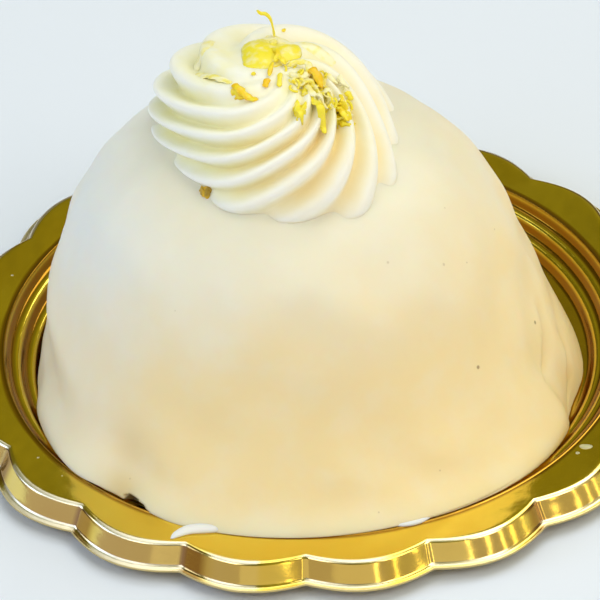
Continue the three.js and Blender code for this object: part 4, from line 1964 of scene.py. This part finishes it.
    def build(self) -> None:
        """Makes the strips, the clumps and the strewn shreds, and enters them."""
        material = self.finish.material()
        strips = join("zest_strips", [self.strip(each) for each in self.strips])
        pulp = join("zest_pulp", [self.clump(each) for each in self.clumps])
        for piece in (strips, pulp):
            piece.data.materials.append(material)
            enter(piece, Slot.LEMON_ZEST)
        shreds = join("zest_shreds", [self.patch(each) for each in self.patches])
        inputs = {
            "Density": self.shreds_per_square_mm * 1e6,
            "Curl Radius": self.shred_radius,
            "Shred Width": self.shred_width,
            "Seed": self.seed,
            "Finish": material,
        }
        bake_nodes(shreds, self.scatter_tree(), inputs)
        enter(shreds, Slot.LEMON_ZEST)


# ---- Studio ----


@dataclass(frozen=True)
class Softbox:
    """One soft area light that faces the pudding.

    Attributes:
        name: Its name.
        azimuth: Where it stands, in degrees from the front, towards the right.
        elevation: Its height above the table as an angle, in degrees.
        distance: How far it stands from the plate.
        width: Its width.
        height: Its height.
        radiance: The brightness of its face, for red, green and blue.
    """

    name: str
    azimuth: float
    elevation: float
    distance: float
    width: float
    height: float
    radiance: RGB

    def place(self, target: Vector) -> None:
        """Hangs the light and turns it to the target."""
        light = bpy.data.lights.new(self.name, "AREA")
        light.shape = "RECTANGLE"
        light.size = self.width
        light.size_y = self.height
        strongest = max(self.radiance)
        light.color = tuple(value / strongest for value in self.radiance)
        light.energy = strongest * math.pi * self.width * self.height
        holder = bpy.data.objects.new(self.name, light)
        bpy.context.scene.collection.objects.link(holder)
        side, rise = math.radians(self.azimuth), math.radians(self.elevation)
        away = Vector((math.sin(side) * math.cos(rise), -math.cos(side) * math.cos(rise), math.sin(rise)))
        holder.location = target + away * self.distance
        holder.rotation_euler = (-away).to_track_quat("-Z", "Y").to_euler()


@dataclass
class Studio:
    """The pale table, the soft lights and the room's dim walls.

    The room is low up to 20 degrees above the table and high from 34 degrees on. Low down it differs between
    front and back, and high up between left and right.
    """

    plate: GoldPlate
    table_colour: RGB = (0.785, 0.845, 0.99)
    table_size: float = 6.0
    room_low: RGB = (0.50, 0.44, 0.52)
    room_back: RGB = (0.13, 0.10, 0.06)
    room_left: RGB = (0.15, 0.145, 0.02)
    room_right: RGB = (0.33, 0.315, 0.05)
    lights: tuple[Softbox, ...] = (
        Softbox("back_right_window", 134.0, 50.0, 1.0, 0.5, 0.5, (2.75, 2.78, 2.84)),
        Softbox("back_fill", 180.0, 61.0, 1.0, 0.6, 0.4, (0.92, 0.97, 1.04)),
        Softbox("ceiling", 180.0, 74.0, 0.9, 0.7, 0.5, (0.76, 0.80, 0.89)),
        Softbox("ceiling_bar", 0.0, 88.0, 0.9, 0.8, 0.14, (2.6, 2.6, 2.6)),
        Softbox("left_window", -90.0, 30.0, 1.0, 0.5, 0.5, (1.95, 2.42, 3.08)),
        Softbox("left_front_fill", -45.0, 42.0, 1.0, 0.5, 0.5, (2.14, 2.18, 2.25)),
        Softbox("right_key", 50.0, 45.0, 1.0, 0.5, 0.5, (2.9, 2.74, 2.58)),
        Softbox("right_fill", 80.0, 45.0, 1.0, 0.5, 0.5, (0.30, 0.30, 0.32)),
        Softbox("front_panel", 0.0, 16.0, 1.4, 1.2, 0.35, (0.20, 0.20, 0.20)),
        Softbox("strip_a", 20.0, 21.0, 1.2, 0.08, 0.4, (2.4, 2.05, 1.45)),
        Softbox("strip_b", 41.0, 19.0, 1.2, 0.08, 0.4, (2.4, 2.05, 1.45)),
        Softbox("strip_c", 59.0, 15.0, 1.2, 0.08, 0.4, (2.4, 2.05, 1.45)),
        Softbox("strip_d", 73.0, 12.0, 1.2, 0.07, 0.4, (2.4, 2.05, 1.45)),
        Softbox("strip_e", 86.0, 8.0, 1.2, 0.06, 0.4, (2.4, 2.05, 1.45)),
    )

    def table(self) -> None:
        """Lays the table under the plate."""
        half = self.table_size / 2.0
        mesh = bpy.data.meshes.new("table")
        corners = [(-half, -half, 0.0), (half, -half, 0.0), (half, half, 0.0), (-half, half, 0.0)]
        mesh.from_pydata(corners, [], [(0, 1, 2, 3)])
        table = bpy.data.objects.new("table", mesh)
        bpy.context.scene.collection.objects.link(table)
        graph = SurfaceGraph("table")
        graph.set(Base_Color=rgba(self.table_colour), Roughness=0.6, Specular_IOR_Level=0.2)
        mesh.materials.append(graph.material)

    def walls(self) -> None:
        """Sets the dim light of the room."""
        world = bpy.data.worlds.new("room")
        bpy.context.scene.world = world
        world.use_nodes = True
        graph = NodeGraph(world.node_tree)
        way = graph.add("ShaderNodeTexCoord").outputs["Generated"]
        axes = graph.add("ShaderNodeSeparateXYZ", {0: way}).outputs
        high = graph.span(axes["Z"], math.sin(math.radians(20)), math.sin(math.radians(34)))
        low = graph.mix(graph.span(axes["Y"], 0.0, 0.25), self.room_low, self.room_back)
        upper = graph.mix(graph.span(axes["X"], -0.16, 0.16), self.room_left, self.room_right)
        background = world.node_tree.nodes["Background"]
        graph.feed(background.inputs["Color"], graph.mix(high, low, upper))
        background.inputs["Strength"].default_value = 1.0

    def build(self) -> None:
        """Sets up the table, the room and the lights."""
        self.table()
        self.walls()
        target = Vector((0.0, 0.0, self.plate.rim_top))
        for light in self.lights:
            light.place(target)
        bpy.context.scene.view_settings.view_transform = "Standard"
        log.info("studio: %d soft lights", len(self.lights))


@dataclass
class TableCamera:
    """A long lens that looks down on the pudding from the front.

    Attributes:
        plate: The plate, whose rim the view is set on.
        elevation: The angle that the lens looks down by, in radians.
        roll: How far the picture leans to the left, in radians.
        lens: The focal length in millimetres, on a sensor of 36 mm.
        distance: How far the lens is from the middle of the rim.
        aim_side: How far to the right of the rim's middle it aims.
        aim_up: How far above the rim's middle it aims.
    """

    plate: GoldPlate
    elevation: float = math.radians(37.87)
    roll: float = math.radians(2.44)
    lens: float = 358.56
    distance: float = 828.7 * MM
    aim_side: float = -1.93 * MM
    aim_up: float = 5.19 * MM

    def build(self) -> None:
        """Places the camera and makes it the scene's."""
        data = bpy.data.cameras.new("table_camera")
        data.lens = self.lens
        data.sensor_width = 36.0
        data.clip_start = 0.05
        data.clip_end = 20.0
        camera = bpy.data.objects.new("table_camera", data)
        bpy.context.scene.collection.objects.link(camera)
        rim = Vector((0.0, 0.0, self.plate.rim_top))
        ahead = Vector((0.0, math.cos(self.elevation), -math.sin(self.elevation)))
        level_right = Vector((1.0, 0.0, 0.0))
        level_up = level_right.cross(ahead)
        right = level_right * math.cos(self.roll) - level_up * math.sin(self.roll)
        up = level_right * math.sin(self.roll) + level_up * math.cos(self.roll)
        stand = rim - ahead * self.distance
        aim = rim + right * self.aim_side + up * self.aim_up
        back = (stand - aim).normalized()
        side = up.cross(back).normalized()
        turned = Matrix((side, back.cross(side), back)).transposed().to_4x4()
        camera.matrix_world = Matrix.Translation(stand) @ turned
        bpy.context.scene.camera = camera


def main() -> None:
    """Builds the studio and the pudding, from the plate up."""
    logging.basicConfig(level=logging.INFO, format="%(name)s: %(message)s", stream=sys.stdout)
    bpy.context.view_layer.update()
    plate = GoldPlate()
    dome = GlazedDome(plate)
    swirl = CreamSwirl(dome)
    TableCamera(plate).build()
    Studio(plate).build()
    plate.build()
    glaze = dome.build()
    GlazeDrips(plate).build()
    cream = swirl.build()
    ZestGarnish(cream, glaze).build()


if __name__ == "__main__":
    main()
